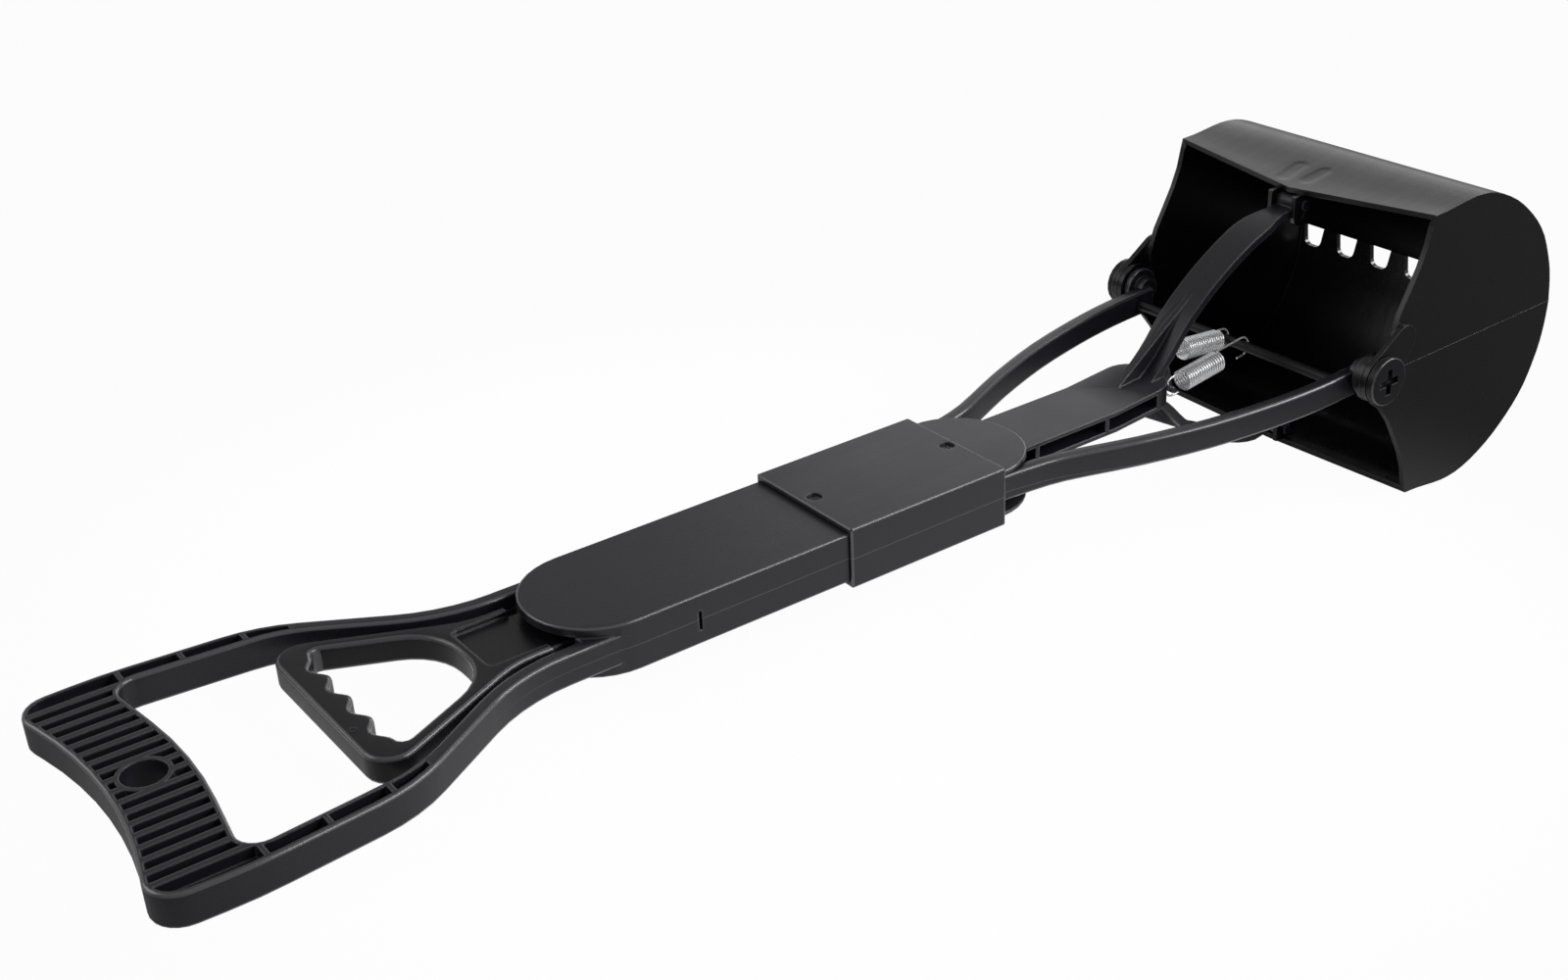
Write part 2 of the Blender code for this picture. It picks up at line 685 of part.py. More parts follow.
def handle_frame():
    """D grip, legs and hollow shaft, with the round plates that roof the trigger's tail."""
    half_height = SHAFT_HEIGHT / 2
    shaft_front = BUTT_JOINT - FIT_GAP / 2
    radius = SHAFT_WIDTH / 2
    shaft_corners = [
        (shaft_front, radius, 0),
        (PLATE_CENTRE - radius, radius, radius),
        (PLATE_CENTRE - radius, -radius, radius),
        (shaft_front, -radius, 0),
    ]
    shaft = plate("handle_frame", rounded(shaft_corners), -half_height, half_height, SHAFT_EDGE_RADIUS)
    half_grip = GRIP_THICKNESS / 2
    grip = plate("grip", rounded(grip_corners()), -half_grip, half_grip, GRIP_EDGE_RADIUS)
    hand_window = window("hand_window", rounded(window_corners()), -half_grip, half_grip, GRIP_EDGE_RADIUS)
    join(shaft, cut(grip, hand_window))
    mouth_half = WAIST_WIDTH / 2 - WAIST_LEG_WIDTH - FIT_GAP
    mouth_high = half_height - MOUTH_WALL
    cut(shaft, box("mouth", (PLATE_CENTRE - SHAFT_WIDTH, -mouth_half, -mouth_high),
                   (CHANNEL_REAR + FIT_GAP, mouth_half, mouth_high)))
    cut(shaft, box("channel", (CHANNEL_REAR, -SHAFT_CHANNEL_HALF, -CHANNEL_HALF_HEIGHT),
                   (BUTT_JOINT + OVERRUN, SHAFT_CHANNEL_HALF, CHANNEL_HALF_HEIGHT)))
    cut(shaft, *side_cells(BUTT_JOINT + OVERRUN, PLATE_CENTRE + SIDE_CELL_SETBACK, SHAFT_CHANNEL_HALF))
    slot = KEY_THICKNESS / 2 + FIT_GAP / 2
    slot_high = KEY_HEIGHT / 2 + FIT_GAP
    cut(shaft, box("key_slot", (KEY_X - slot, -SHAFT_WIDTH, KEY_Z - slot_high),
                   (KEY_X + slot, SHAFT_WIDTH, KEY_Z + slot_high)))
    cut(shaft, screw_hole(SLEEVE_REAR + SCREW_INSET_REAR, SCREW_RADIUS + FIT_GAP))
    upper = evaluated_copy(grip_pockets())
    lower = new_object("grip_pocket_below", upper.data)
    lower.rotation_euler.x = pi
    hole = circle(HANG_HOLE_X, 0, HANG_HOLE_RADIUS)
    return cut(shaft, upper, lower, prism("hang_hole", [hole], -GRIP_THICKNESS, GRIP_THICKNESS))


def handle_sleeve():
    """The rectangular tube over the butt joint of handle and fork."""
    half = SLEEVE_WIDTH / 2
    high = SLEEVE_HEIGHT / 2
    sleeve = box("handle_sleeve", (SLEEVE_REAR, -half, -high), (SLEEVE_FRONT, half, high))
    soften(sleeve, SLEEVE_EDGE_RADIUS)
    bore_half = SHAFT_WIDTH / 2 + FIT_GAP
    bore_high = SHAFT_HEIGHT / 2 + FIT_GAP
    cut(sleeve, box("sleeve_bore", (SLEEVE_REAR - OVERRUN, -bore_half, -bore_high),
                    (SLEEVE_FRONT + OVERRUN, bore_half, bore_high)))
    for x in (SLEEVE_REAR + SCREW_INSET_REAR, SLEEVE_FRONT - SCREW_INSET_FRONT):
        cut(sleeve, screw_hole(x, SCREW_RADIUS + FIT_GAP))
        recess = circle(x, 0, SCREW_HEAD_RADIUS + FIT_GAP)
        cut(sleeve, prism("screw_recess", [recess], high - SCREW_HEAD_HEIGHT - FIT_GAP, high + OVERRUN))
    return sleeve


def sleeve_screw(name, x):
    """A short screw: its head sits in the sleeve's recess, its shank in the wall below."""
    top = SLEEVE_HEIGHT / 2
    seat = top - SCREW_HEAD_HEIGHT
    screw = prism(name, [circle(x, 0, SCREW_HEAD_RADIUS)], seat, top)
    shank = circle(x, 0, SCREW_RADIUS)
    join(screw, prism("screw_shank", [shank], CHANNEL_HALF_HEIGHT + FIT_GAP, seat + FIT_GAP))
    reach = SCREW_HEAD_RADIUS * SCREW_CROSS_SHARE
    half = SCREW_SLOT_WIDTH / 2
    for along, across in ((reach, half), (half, reach)):
        cut(screw, box("screw_cross", (x - along, -across, top - SCREW_SLOT_DEPTH),
                       (x + along, across, top + OVERRUN)))
    return screw


def arm(side):
    """One curved arm of the fork: a plan outline given its height, leaned up towards the pivot."""
    length = PIVOT_TO_SLEEVE + ARM_ROOT_DEPTH
    root = -length
    spread = (ARM_SPREAD - ARM_ROOT_WIDTH) / 2
    outer = smooth_line([(root + length * along, ARM_ROOT_WIDTH / 2 + spread * across)
                         for along, across in ARM_SHARES], 3)
    inner = beside(outer, -ARM_THICKNESS)
    outline = [tuple(spot) for spot in outer] + [tuple(spot) for spot in reversed(inner)]
    outline = [(x, side * y) for x, y in outline]
    shape = plate("arm", outline, -ARM_HEIGHT / 2, ARM_HEIGHT / 2, ARM_EDGE_RADIUS)
    climb = PIVOT_RISE - ARM_TIP_DROP - ARM_ROOT_RISE
    lean = Matrix.Identity(4)
    lean[2][0] = climb / length
    lean[2][3] = PIVOT_RISE - ARM_TIP_DROP
    shape.data.transform(lean)
    return shape


def boss(side):
    """The round neck on an arm's end, with the flange that the scoops' hubs turn against."""
    inner = side * (ARM_OUTER - BOSS_ROOT_DEPTH)
    flange = side * (BOSS_FACE - BOSS_FLANGE_THICKNESS)
    outer = side * BOSS_FACE
    ends = sorted((inner, outer - side * FIT_GAP))
    neck = prism("boss_neck", [circle(0, PIVOT_RISE, BOSS_NECK_RADIUS)], *ends, "side")
    disc = circle(0, PIVOT_RISE, BOSS_FLANGE_RADIUS)
    return join(neck, plate("boss_flange", disc, *sorted((flange, outer)), BOSS_EDGE_RADIUS, "side"))


def fork_frame():
    """Shank in the sleeve, two round plates, and two arms that carry the scoops' pivots."""
    half_height = SHAFT_HEIGHT / 2
    rear = BUTT_JOINT + FIT_GAP / 2
    half = SHAFT_WIDTH / 2
    centre = SLEEVE_FRONT
    tip = centre + PLATE_REACH
    corners = [
        (rear, half, 0), (rear, -half, 0), (centre, -half, 0), (centre + FIT_GAP, -PLATE_RADIUS, 0),
        (tip, -PLATE_RADIUS, PLATE_REACH), (tip, PLATE_RADIUS, PLATE_REACH),
        (centre + FIT_GAP, PLATE_RADIUS, 0), (centre, half, 0),
    ]
    fork = plate("fork_frame", rounded(corners), -half_height, half_height, SHAFT_EDGE_RADIUS)
    cut(fork, box("fork_channel", (rear - OVERRUN, -FORK_CHANNEL_HALF, -CHANNEL_HALF_HEIGHT),
                  (tip + OVERRUN, FORK_CHANNEL_HALF, CHANNEL_HALF_HEIGHT)))
    cut(fork, *side_cells(centre - ARM_ROOT_DEPTH - GUIDE_WALL, rear - OVERRUN, FORK_CHANNEL_HALF))
    cut(fork, box("plate_gap", (centre - GUIDE_WALL, -SHAFT_WIDTH, -CHANNEL_HALF_HEIGHT),
                  (tip + OVERRUN, SHAFT_WIDTH, CHANNEL_HALF_HEIGHT)))
    cut(fork, screw_hole(SLEEVE_FRONT - SCREW_INSET_FRONT, SCREW_RADIUS + FIT_GAP))
    for side in (-1, 1):
        join(fork, arm(side), boss(side))
        start = side * (ARM_OUTER - ARM_THICKNESS - OVERRUN)
        seat = side * (ARM_OUTER - ARM_THICKNESS + CROSSBAR_SEAT_DEPTH)
        bar = circle(CROSSBAR_X, CROSSBAR_Z, CROSSBAR_RADIUS + FIT_GAP)
        cut(fork, prism("crossbar_seat", [bar], *sorted((start, seat)), "side"))
        ends = sorted((side * (ARM_OUTER - PIN_SEAT_DEPTH - FIT_GAP), side * (BOSS_FACE + OVERRUN)))
        cut(fork, prism("pivot_hole", [circle(0, PIVOT_RISE, PIN_RADIUS + FIT_GAP)], *ends, "side"))
    return fork


def spring_crossbar():
    """The round bar across the fork that the springs pull on."""
    end = ARM_OUTER - ARM_THICKNESS + CROSSBAR_SEAT_DEPTH - FIT_GAP
    bar = circle(CROSSBAR_X, CROSSBAR_Z, CROSSBAR_RADIUS)
    return plate("spring_crossbar", bar, -end, end, FIT_GAP, "side")


def finger_edge(x, half):
    """The corners of the window's rear edge from +Y to -Y, waved for the fingers."""
    count = FINGER_COUNT * FINGER_STEPS
    edge = []
    for k in range(count + 1):
        sunk = FINGER_DEPTH * (1 - cos(2 * pi * k / FINGER_STEPS)) / 2
        edge.append((x - sunk, half - 2 * half * k / count, 0))
    return edge


def trigger_outlines():
    half = TRIGGER_WIDTH / 2
    tail = TAIL_WIDTH / 2
    run = (half - tail) / TRIGGER_SLOPE
    outer = rounded(mirrored([
        (TRIGGER_FRONT, tail, 0),
        (TRIGGER_REAR + run, tail, TRIGGER_WAIST_RADIUS),
        (TRIGGER_REAR, half, TRIGGER_CORNER_RADIUS),
    ]))
    edge_x = TRIGGER_REAR + TRIGGER_BAR_DEPTH
    slant = hypot(1, TRIGGER_SLOPE)
    window_half = half - TRIGGER_SIDE_WIDTH * slant - TRIGGER_BAR_DEPTH * TRIGGER_SLOPE
    nose_x = edge_x + TRIGGER_WINDOW_LENGTH
    nose_half = window_half - TRIGGER_WINDOW_LENGTH * TRIGGER_SLOPE
    front = [
        (edge_x, -window_half, TRIGGER_WINDOW_CORNER_RADIUS),
        (nose_x, -nose_half, TRIGGER_NOSE_RADIUS),
        (nose_x, nose_half, TRIGGER_NOSE_RADIUS),
        (edge_x, window_half, TRIGGER_WINDOW_CORNER_RADIUS),
    ]
    return outer, rounded(front + finger_edge(edge_x, window_half * FINGER_SPAN_SHARE))


def trigger():
    """Finger loop, railed tail, and the slider that runs in the shaft's channel."""
    half = TRIGGER_THICKNESS / 2
    web = TAIL_WEB_THICKNESS / 2
    outer, inner = trigger_outlines()
    body = plate("trigger", outer, -half, half, TRIGGER_EDGE_RADIUS)
    cut(body, window("finger_window", inner, -half, half, TRIGGER_EDGE_RADIUS))
    pocket_half = TAIL_WIDTH / 2 - TAIL_RAIL_WIDTH
    pocket_rear = TRIGGER_FRONT - TAIL_POCKET_LENGTH
    pocket = rounded([
        (TRIGGER_FRONT + OVERRUN, pocket_half, 0),
        (pocket_rear, pocket_half, TAIL_POCKET_CORNER_RADIUS),
        (pocket_rear, -pocket_half, TAIL_POCKET_CORNER_RADIUS),
        (TRIGGER_FRONT + OVERRUN, -pocket_half, 0),
    ])
    cut(body, prism("tail_pocket", [pocket], web, half + OVERRUN))
    cut(body, prism("tail_pocket_below", [pocket], -half - OVERRUN, -web))
    web_half = pocket_half - FIT_GAP
    join(body, box("tail_web", (TRIGGER_FRONT - TAIL_RAIL_WIDTH, -web_half, -web + FIT_GAP / 2),
                   (SLIDER_REAR + OVERRUN, web_half, web - FIT_GAP / 2)))
    slider_half = SLIDER_WIDTH / 2
    slider_high = CHANNEL_HALF_HEIGHT - SLIDE_GAP
    slider_front = SLIDER_REAR + SLIDER_LENGTH
    join(body, box("slider", (SLIDER_REAR, -slider_half, -slider_high),
                   (slider_front, slider_half, slider_high)))
    tongue = ROD_TONGUE_WIDTH / 2 + FIT_GAP
    cut(body, box("tongue_slot", (SLIDER_REAR + SLIDER_REAR_WALL, -tongue, -CHANNEL_HALF_HEIGHT),
                  (slider_front + OVERRUN, tongue, CHANNEL_HALF_HEIGHT)))
    cut(body, key_hole())
    return body


def key_hole():
    """The slot that the flat key fills in the slider and in the rod's tongue."""
    slot = KEY_THICKNESS / 2 + FIT_GAP
    high = KEY_HEIGHT / 2 + FIT_GAP
    return box("key_hole", (KEY_X - slot, -SHAFT_WIDTH / 2, KEY_Z - high),
               (KEY_X + slot, SHAFT_WIDTH / 2, KEY_Z + high))


def coupling_key():
    end = SLIDER_WIDTH / 2
    return box("coupling_key", (KEY_X - KEY_THICKNESS / 2, -end, KEY_Z - KEY_HEIGHT / 2),
               (KEY_X + KEY_THICKNESS / 2, end, KEY_Z + KEY_HEIGHT / 2))


def strip_line(side):
    """The outer line of one strip, from the rod to the link eye, about the wishbone's own axis."""
    base = ROD_BEND + (THROAT_FROM_PIVOT + STRIP_THICKNESS) * STRIP_ROOT_SHARE
    reach = LINK_FORWARD - base
    return smooth_line([(base + reach * along, side * LINK_RISE * rise) for along, rise in STRIP_SHARES], 3)


def strip(side):
    """One curved strip with its link eye and the gusset behind its root."""
    outer = strip_line(side)
    inner = beside(outer, -side * STRIP_THICKNESS)
    taper_start = LINK_FORWARD - 2 * STRIP_TAPER_LENGTH
    halves = []
    for spot in outer:
        share = min(max((spot.x - taper_start) / STRIP_TAPER_LENGTH, 0), 1)
        halves.append((STRIP_WIDTH + (STRIP_TIP_WIDTH - STRIP_WIDTH) * share) / 2)
    shape = band("strip", outer, inner, halves)
    tip = (STRIP_TIP_WIDTH + FIT_GAP) / 2
    eye = circle(LINK_FORWARD, side * LINK_RISE, LINK_EYE_RADIUS)
    join(shape, prism("link_eye", [eye], -tip, tip, "side"))
    end = outer[int(len(outer) * GUSSET_END_SHARE)]
    back = outer[0].x - GUSSET_BACK
    gusset = [(back, 0), (back, side * GUSSET_RISE), tuple(end),
              (end.x, end.y - side * STRIP_THICKNESS * GUSSET_SINK_SHARE), (THROAT_X - STRIP_THICKNESS, 0)]
    thin = GUSSET_THICKNESS / 2
    join(shape, prism("gusset", [gusset], -thin, thin, "side"))
    return shape


def rod():
    """The flat rod: two flanges on a middle web, crossed by ribs, with a tongue for the key."""
    half = ROD_WIDTH / 2
    high = ROD_HEIGHT / 2
    rear = SLIDER_REAR + SLIDER_LENGTH + FIT_GAP
    nose = THROAT_X
    corners = [
        (rear, -half, 0), (nose, -half, ROD_NOSE_RADIUS), (nose, half, ROD_NOSE_RADIUS), (rear, half, 0),
    ]
    body = prism("wishbone", [rounded(corners)], -high, high)
    web = ROD_WEB_THICKNESS / 2
    inner = high - ROD_FLANGE_THICKNESS
    cell_front = THROAT_X - ROD_NOSE_RADIUS
    cell = cell_front - ROD_FIRST_RIB
    starts = [cell_front]
    while cell > rear + ROD_RIB_WIDTH:
        starts.append(cell)
        cell -= ROD_RIB_PITCH
    starts.append(rear)
    for front, back in zip(starts, starts[1:]):
        for side in (-1, 1):
            near = side * web
            far = side * (half + OVERRUN)
            cut(body, box("rod_cell", (back + ROD_RIB_WIDTH / 2, min(near, far), -inner),
                          (front - ROD_RIB_WIDTH / 2, max(near, far), inner)))
    tongue = ROD_TONGUE_WIDTH / 2
    tongue_rear = SLIDER_REAR + SLIDER_REAR_WALL + FIT_GAP
    return join(body, box("tongue", (tongue_rear, -tongue, -high - ROD_TONGUE_DROP),
                          (rear + OVERRUN, tongue, high - FIT_GAP)))


def anchor():
    """The fin in the throat with one post on each side, where the springs hook on."""
    fin_half = ANCHOR_FIN_THICKNESS / 2
    front = THROAT_X + ANCHOR_FIN_REACH
    fin = box("anchor_fin", (THROAT_X - OVERRUN, -fin_half, -FIN_HEIGHT / 2),
              (front, fin_half, FIN_HEIGHT / 2))
    for side, place in anchor_posts():
        end = side * (fin_half + ANCHOR_POST_LENGTH)
        post = circle(place.x, place.z, ANCHOR_POST_RADIUS)
        join(fin, prism("anchor_post", [post], *sorted((0, end)), "side"))
    return fin


def anchor_posts():
    """Each post's side and centre, about the wishbone's own axis."""
    x = THROAT_X + ANCHOR_FIN_REACH - 2 * ANCHOR_POST_RADIUS
    low = Vector((x, 0, FIN_HEIGHT * ANCHOR_LOW_SHARE))
    high = Vector((x, 0, FIN_HEIGHT * ANCHOR_HIGH_SHARE))
    return ((-1, low), (1, high))


def wishbone_rise(x):
    """How far the wishbone's own axis lies above the handle's middle plane."""
    slope = (PIVOT_RISE - ROD_RISE) / (LINK_FORWARD - ROD_BEND)
    return ROD_RISE + slope * max(x - ROD_BEND, 0)


def wishbone():
    """Rod, strips, gussets and anchor in one moulding, bent up to the height of the pivot."""
    body = rod()
    join(body, strip(1), strip(-1))
    throat_half = STRIP_WIDTH / 2 - FIT_GAP
    high = LINK_RISE * STRIP_SHARES[1][1]
    back = THROAT_X - ROD_NOSE_RADIUS * THROAT_SHARE
    throat = [(back, -high * THROAT_SHARE), (THROAT_X, -high), (THROAT_X, high), (back, high * THROAT_SHARE)]
    join(body, prism("throat", [throat], -throat_half, throat_half, "side"), anchor())
    for side in (-1, 1):
        cut(body, prism("link_hole", [circle(LINK_FORWARD, side * LINK_RISE, LINK_PIN_RADIUS + FIT_GAP)],
                        -STRIP_WIDTH, STRIP_WIDTH, "side"))
    bent = evaluated_copy(body)
    form = bmesh.new()
    form.from_mesh(bent.data)
    everything = form.verts[:] + form.edges[:] + form.faces[:]
    bmesh.ops.bisect_plane(form, geom=everything, dist=WELD_DISTANCE,
                           plane_co=(ROD_BEND, 0, 0), plane_no=(1, 0, 0))
    for vertex in form.verts:
        vertex.co.z += wishbone_rise(vertex.co.x)
    form.to_mesh(bent.data)
    form.free()
    return cut(bent, key_hole())


def evaluated_copy(obj):
    """A plain mesh object of a shape with its modifiers applied; the shape and its cutters are removed."""
    bpy.context.view_layer.update()
    graph = bpy.context.evaluated_depsgraph_get()
    mesh = bpy.data.meshes.new_from_object(obj.evaluated_get(graph))
    name = obj.name
    remove_shape(obj)
    weld(mesh)
    return new_object(name, mesh)


def remove_shape(obj):
    for modifier in list(obj.modifiers):
        if modifier.type == "BOOLEAN" and modifier.object:
            remove_shape(modifier.object)
    bpy.data.objects.remove(obj, do_unlink=True)


def lug_slot(side):
    """The outline of the slot that the link pin runs in, which points at the pivot."""
    heading = Vector((LINK_FORWARD, side * LINK_RISE)).normalized()
    half = LINK_PIN_RADIUS + TURN_GAP
    near = heading * (LINK_RISE - SLOT_SPARE)
    far = heading * (LINK_RADIUS_FAR + SLOT_SPARE)
    return capsule(near, far, half, half)


def lug_plates(side):
    """Two slotted ears under the scoop's rear edge, one each side of the strip's eye."""
    rear_edge = SCOOP_REACH * SCOOP_SHARES[-1][0] - SCOOP_DIP_SETBACK
    centre = (rear_edge + LINK_FORWARD) / 2
    crown = SCOOP_RISE * SCOOP_SHARES[-1][1] - SCOOP_DIP_DROP - SCOOP_WALL * WALL_SINK_SHARE
    foot = (LINK_RISE - SLOT_SPARE) * LINK_RISE / LINK_RADIUS_FAR - LUG_FOOT
    wing = LUG_HALF_LENGTH
    rear_root, front_root = LUG_ROOT_SHARES
    outline = rounded([
        (centre - wing, side * crown * rear_root, 0),
        (centre - wing, side * foot, wing * LUG_ROUND_SHARE),
        (centre + wing, side * foot, wing * LUG_ROUND_SHARE),
        (centre + wing + LUG_LEAN, side * crown * front_root, 0),
    ])
    ears = []
    start = STRIP_TIP_WIDTH / 2 + LUG_GAP
    for way in (-1, 1):
        ends = sorted((way * start, way * (start + LUG_THICKNESS)))
        ears.append(prism("lug", [outline, lug_slot(side)], *ends, "side"))
    return ears


def scoop_sheet(side, rear_points):
    """The scoop's outer skin, curved wall and side plates, and the wall's middle row of corners."""
    wall = smooth_line([(SCOOP_REACH * along, SCOOP_RISE * rise) for along, rise in SCOOP_SHARES], 2)
    wall[0].y = LIP_GAP + side * LIP_RISE
    form = bmesh.new()
    rows = []
    for across in (-1, 0, 1):
        rows.append([form.verts.new((spot.x, across * SCOOP_SIDE, side * spot.y)) for spot in wall])
    for near, far in zip(rows, rows[1:]):
        for i in range(len(wall) - 1):
            form.faces.new((near[i], near[i + 1], far[i + 1], far[i]))
    for row, across in ((rows[0], -1), (rows[2], 1)):
        rear = [form.verts.new((x, across * SCOOP_SIDE, side * z)) for x, z in rear_points]
        form.faces.new(row + rear)
    bmesh.ops.recalc_face_normals(form, faces=form.faces)
    plate_face = next(face for face in form.faces if len(face.verts) > 4)
    if plate_face.normal.y * plate_face.calc_center_median().y < 0:
        bmesh.ops.reverse_faces(form, faces=form.faces)
    return form, rows[1]


def dip_crown(row, side):
    """Sinks the middle of the crown towards its rear edge, where the link's ears are."""
    fade_end = SCOOP_REACH * SCOOP_DIP_SHARE
    rear_edge = SCOOP_REACH * SCOOP_SHARES[-1][0]
    for vertex in row:
        if abs(vertex.co.z) > SCOOP_RISE / 2:
            fade = min(max((fade_end - vertex.co.x) / (fade_end - rear_edge), 0), 1)
            vertex.co.x -= SCOOP_DIP_SETBACK * fade * fade
            vertex.co.z -= side * SCOOP_DIP_DROP * fade


def scoop_shell(name, side, rear_points):
    """Curved wall and two side plates as one sheet, thickened inwards."""
    form, middle_row = scoop_sheet(side, rear_points)
    dip_crown(middle_row, side)
    mesh = bpy.data.meshes.new(name)
    form.to_mesh(mesh)
    form.free()
    shell = new_object(name, mesh)
    thick = shell.modifiers.new("wall", "SOLIDIFY")
    thick.thickness = SCOOP_WALL
    thick.offset = -1
    thick.use_even_offset = True
    thick.use_quality_normals = True
    return shell


def hub_corner(shares):
    """A corner of a side plate beside its hub."""
    return (HUB_RADIUS * shares[0], HUB_RADIUS * shares[1])


def hub_tab(side):
    """The upper scoop's hub, outside the lower one's, on a tab that is set over to the side plate."""
    tab_end = (SCOOP_REACH * HUB_TAB_SHARES[0], SCOOP_RISE * HUB_TAB_SHARES[1])
    tab = capsule((0, 0), tab_end, HUB_RADIUS, HUB_TAB_RADIUS)
    hub = prism("hub_tab", [tab], *sorted((side * HUB_TAB_INNER, side * HUB_TAB_OUTER)), "side")
    ends = sorted((side * (SCOOP_SIDE - SCOOP_WALL / 2), side * (HUB_TAB_INNER + SCOOP_WALL / 2)))
    return join(hub, prism("hub_root", [circle(*tab_end, HUB_ROOT_RADIUS)], *ends, "side"))


def upper_scoop():
    """Upper scoop: its hubs are set outside the lower scoop's, on tabs."""
    rear = [(SCOOP_REACH * along, SCOOP_RISE * rise) for along, rise in SCOOP_REAR_SHARES]
    corner = hub_corner(UPPER_HUB_CORNER_SHARES)
    shell = scoop_shell("upper_scoop", 1, rear + [corner, (corner[0], LIP_GAP)])
    join(shell, *lug_plates(1))
    for side in (-1, 1):
        ends = sorted((side * (HUB_INNER - FIT_GAP), side * (SCOOP_SIDE + FIT_GAP / 2)))
        cut(shell, prism("hub_clearance", [circle(0, 0, HUB_RADIUS + TURN_GAP)], *ends, "side"))
        join(shell, hub_tab(side))
    return cut(shell, hub_bore())


def hub_bore():
    """The hole for both pivot pins, right across the scoop."""
    far = HUB_TAB_OUTER + OVERRUN
    return prism("hub_bore", [circle(0, 0, PIN_RADIUS + FIT_GAP)], -far, far, "side")


def lower_scoop():
    """Lower scoop: flush hubs, and a rake cut into its lip."""
    rear = [(SCOOP_REACH * along, SCOOP_RISE * rise) for along, rise in SCOOP_REAR_SHARES[:-1]]
    corner = hub_corner(LOWER_HUB_CORNER_SHARES)
    edge = HUB_RADIUS * LOWER_HUB_EDGE_SHARE
    shell = scoop_shell("lower_scoop", -1, rear + [corner, (0, edge), (0, LIP_GAP)])
    join(shell, *lug_plates(-1))
    for side in (-1, 1):
        ends = sorted((side * (HUB_INNER + HUB_INSET), side * (SCOOP_SIDE - HUB_INSET)))
        join(shell, prism("hub", [circle(0, 0, HUB_RADIUS)], *ends, "side"))
    cut(shell, hub_bore())
    for k in range(TOOTH_GAP_COUNT):
        middle = (k - (TOOTH_GAP_COUNT - 1) / 2) * TOOTH_GAP_PITCH
        half = TOOTH_GAP_WIDTH / 2
        end = TOOTH_GAP_END_HALF
        bottom = LIP_RISE - TOOTH_GAP_DEPTH
        top = LIP_RISE + OVERRUN
        outline = rounded([
            (middle - half, top, 0), (middle - end, bottom, end * TOOTH_GAP_ROUND_SHARE),
            (middle + end, bottom, end * TOOTH_GAP_ROUND_SHARE), (middle + half, top, 0),
        ])
        start = SCOOP_REACH - TOOTH_GAP_REACH
        cut(shell, prism("tooth_gap", [outline], start, SCOOP_REACH + OVERRUN, "front"))
    return shell


def pivot_pin(name, side):
    """A pin pressed into the arm's neck, whose head has a moulded cross and holds both hubs."""
    ends = sorted((side * PIN_HEAD_INNER, side * (PIN_HEAD_INNER + PIN_HEAD_THICKNESS)))
    pin = plate(name, circle(0, 0, HUB_RADIUS), *ends, PIN_EDGE_RADIUS, "side")
    ends = sorted((side * (ARM_OUTER - PIN_SEAT_DEPTH), side * (PIN_HEAD_INNER + FIT_GAP)))
    join(pin, prism("pin_shank", [circle(0, 0, PIN_RADIUS)], *ends, "side"))
    face = PIN_HEAD_INNER + PIN_HEAD_THICKNESS
    low, high = sorted((side * (face - PIN_CROSS_DEPTH), side * (face + OVERRUN)))
    reach = PIN_CROSS_LENGTH / 2
    half = PIN_CROSS_WIDTH / 2
    for along, up in ((reach, half), (half, reach)):
        cut(pin, box("pin_cross", (-along, low, -up), (along, high, up)))
    return pin


def link_pin(name, side):
    """A headed pin through the scoop's ears and the strip's eye."""
    ear = STRIP_TIP_WIDTH / 2 + LUG_GAP + LUG_THICKNESS + FIT_GAP
    x = LINK_FORWARD
    z = side * LINK_RISE
    pin = prism(name, [circle(x, z, LINK_PIN_RADIUS)], -ear - FIT_GAP, ear + FIT_GAP, "side")
    for way in (-1, 1):
        ends = sorted((way * ear, way * (ear + LINK_HEAD_THICKNESS)))
        join(pin, prism("link_head", [circle(x, z, LINK_HEAD_RADIUS)], *ends, "side"))
    return pin


def spring_path(start, end, y, coil_end):
    """Hook, leg, coil, leg and hook of a spring between two round bars, its coil near one end."""
    start_centre, start_radius = start
    end_centre, end_radius = end
    axis = (end_centre - start_centre).normalized()
    up = Vector((-axis.z, 0, axis.x))
    coil = SPRING_COIL_RADIUS
    hold = SPRING_WIRE_RADIUS + FIT_GAP - coil
    first_hook = start_centre - axis * (start_radius + hold)
    last_hook = end_centre + axis * (end_radius + hold)
    span = (last_hook - first_hook).length
    body = SPRING_TURNS * SPRING_PITCH
    first_leg = SPRING_REAR_LEG if coil_end == "rear" else span - body - SPRING_FRONT_LEG
    steps = SPRING_POINTS_PER_TURN
    path = [first_hook + axis * SPRING_TAIL_LENGTH - up * coil]
    half_turn = steps // 2 + 1
    for k in range(half_turn + 1):
        angle = -pi / 2 - pi * k / half_turn
        path.append(first_hook + axis * coil * cos(angle) + up * coil * sin(angle))
    coil_start = first_hook + axis * first_leg
    for k in range(SPRING_TURNS * steps + 1):
        turn = 2 * pi * k / steps
        along = axis * (SPRING_PITCH * k / steps)
        path.append(coil_start + along + up * coil * cos(turn) + Vector((0, coil * sin(turn), 0)))
    for k in range(half_turn + 1):
        angle = pi / 2 - pi * k / half_turn
        path.append(last_hook + axis * coil * cos(angle) + up * coil * sin(angle))
    path.append(last_hook - axis * SPRING_TAIL_LENGTH - up * coil)
    return [spot + Vector((0, y, 0)) for spot in path]


def least_gap(path):
    """The least clear gap between stretches of wire that aren't next to each other."""
    clear = SPRING_POINTS_PER_TURN - 2
    gaps = [(a - b).length for i, a in enumerate(path) for b in path[i + clear:]]
    return min(gaps) - 2 * SPRING_WIRE_RADIUS


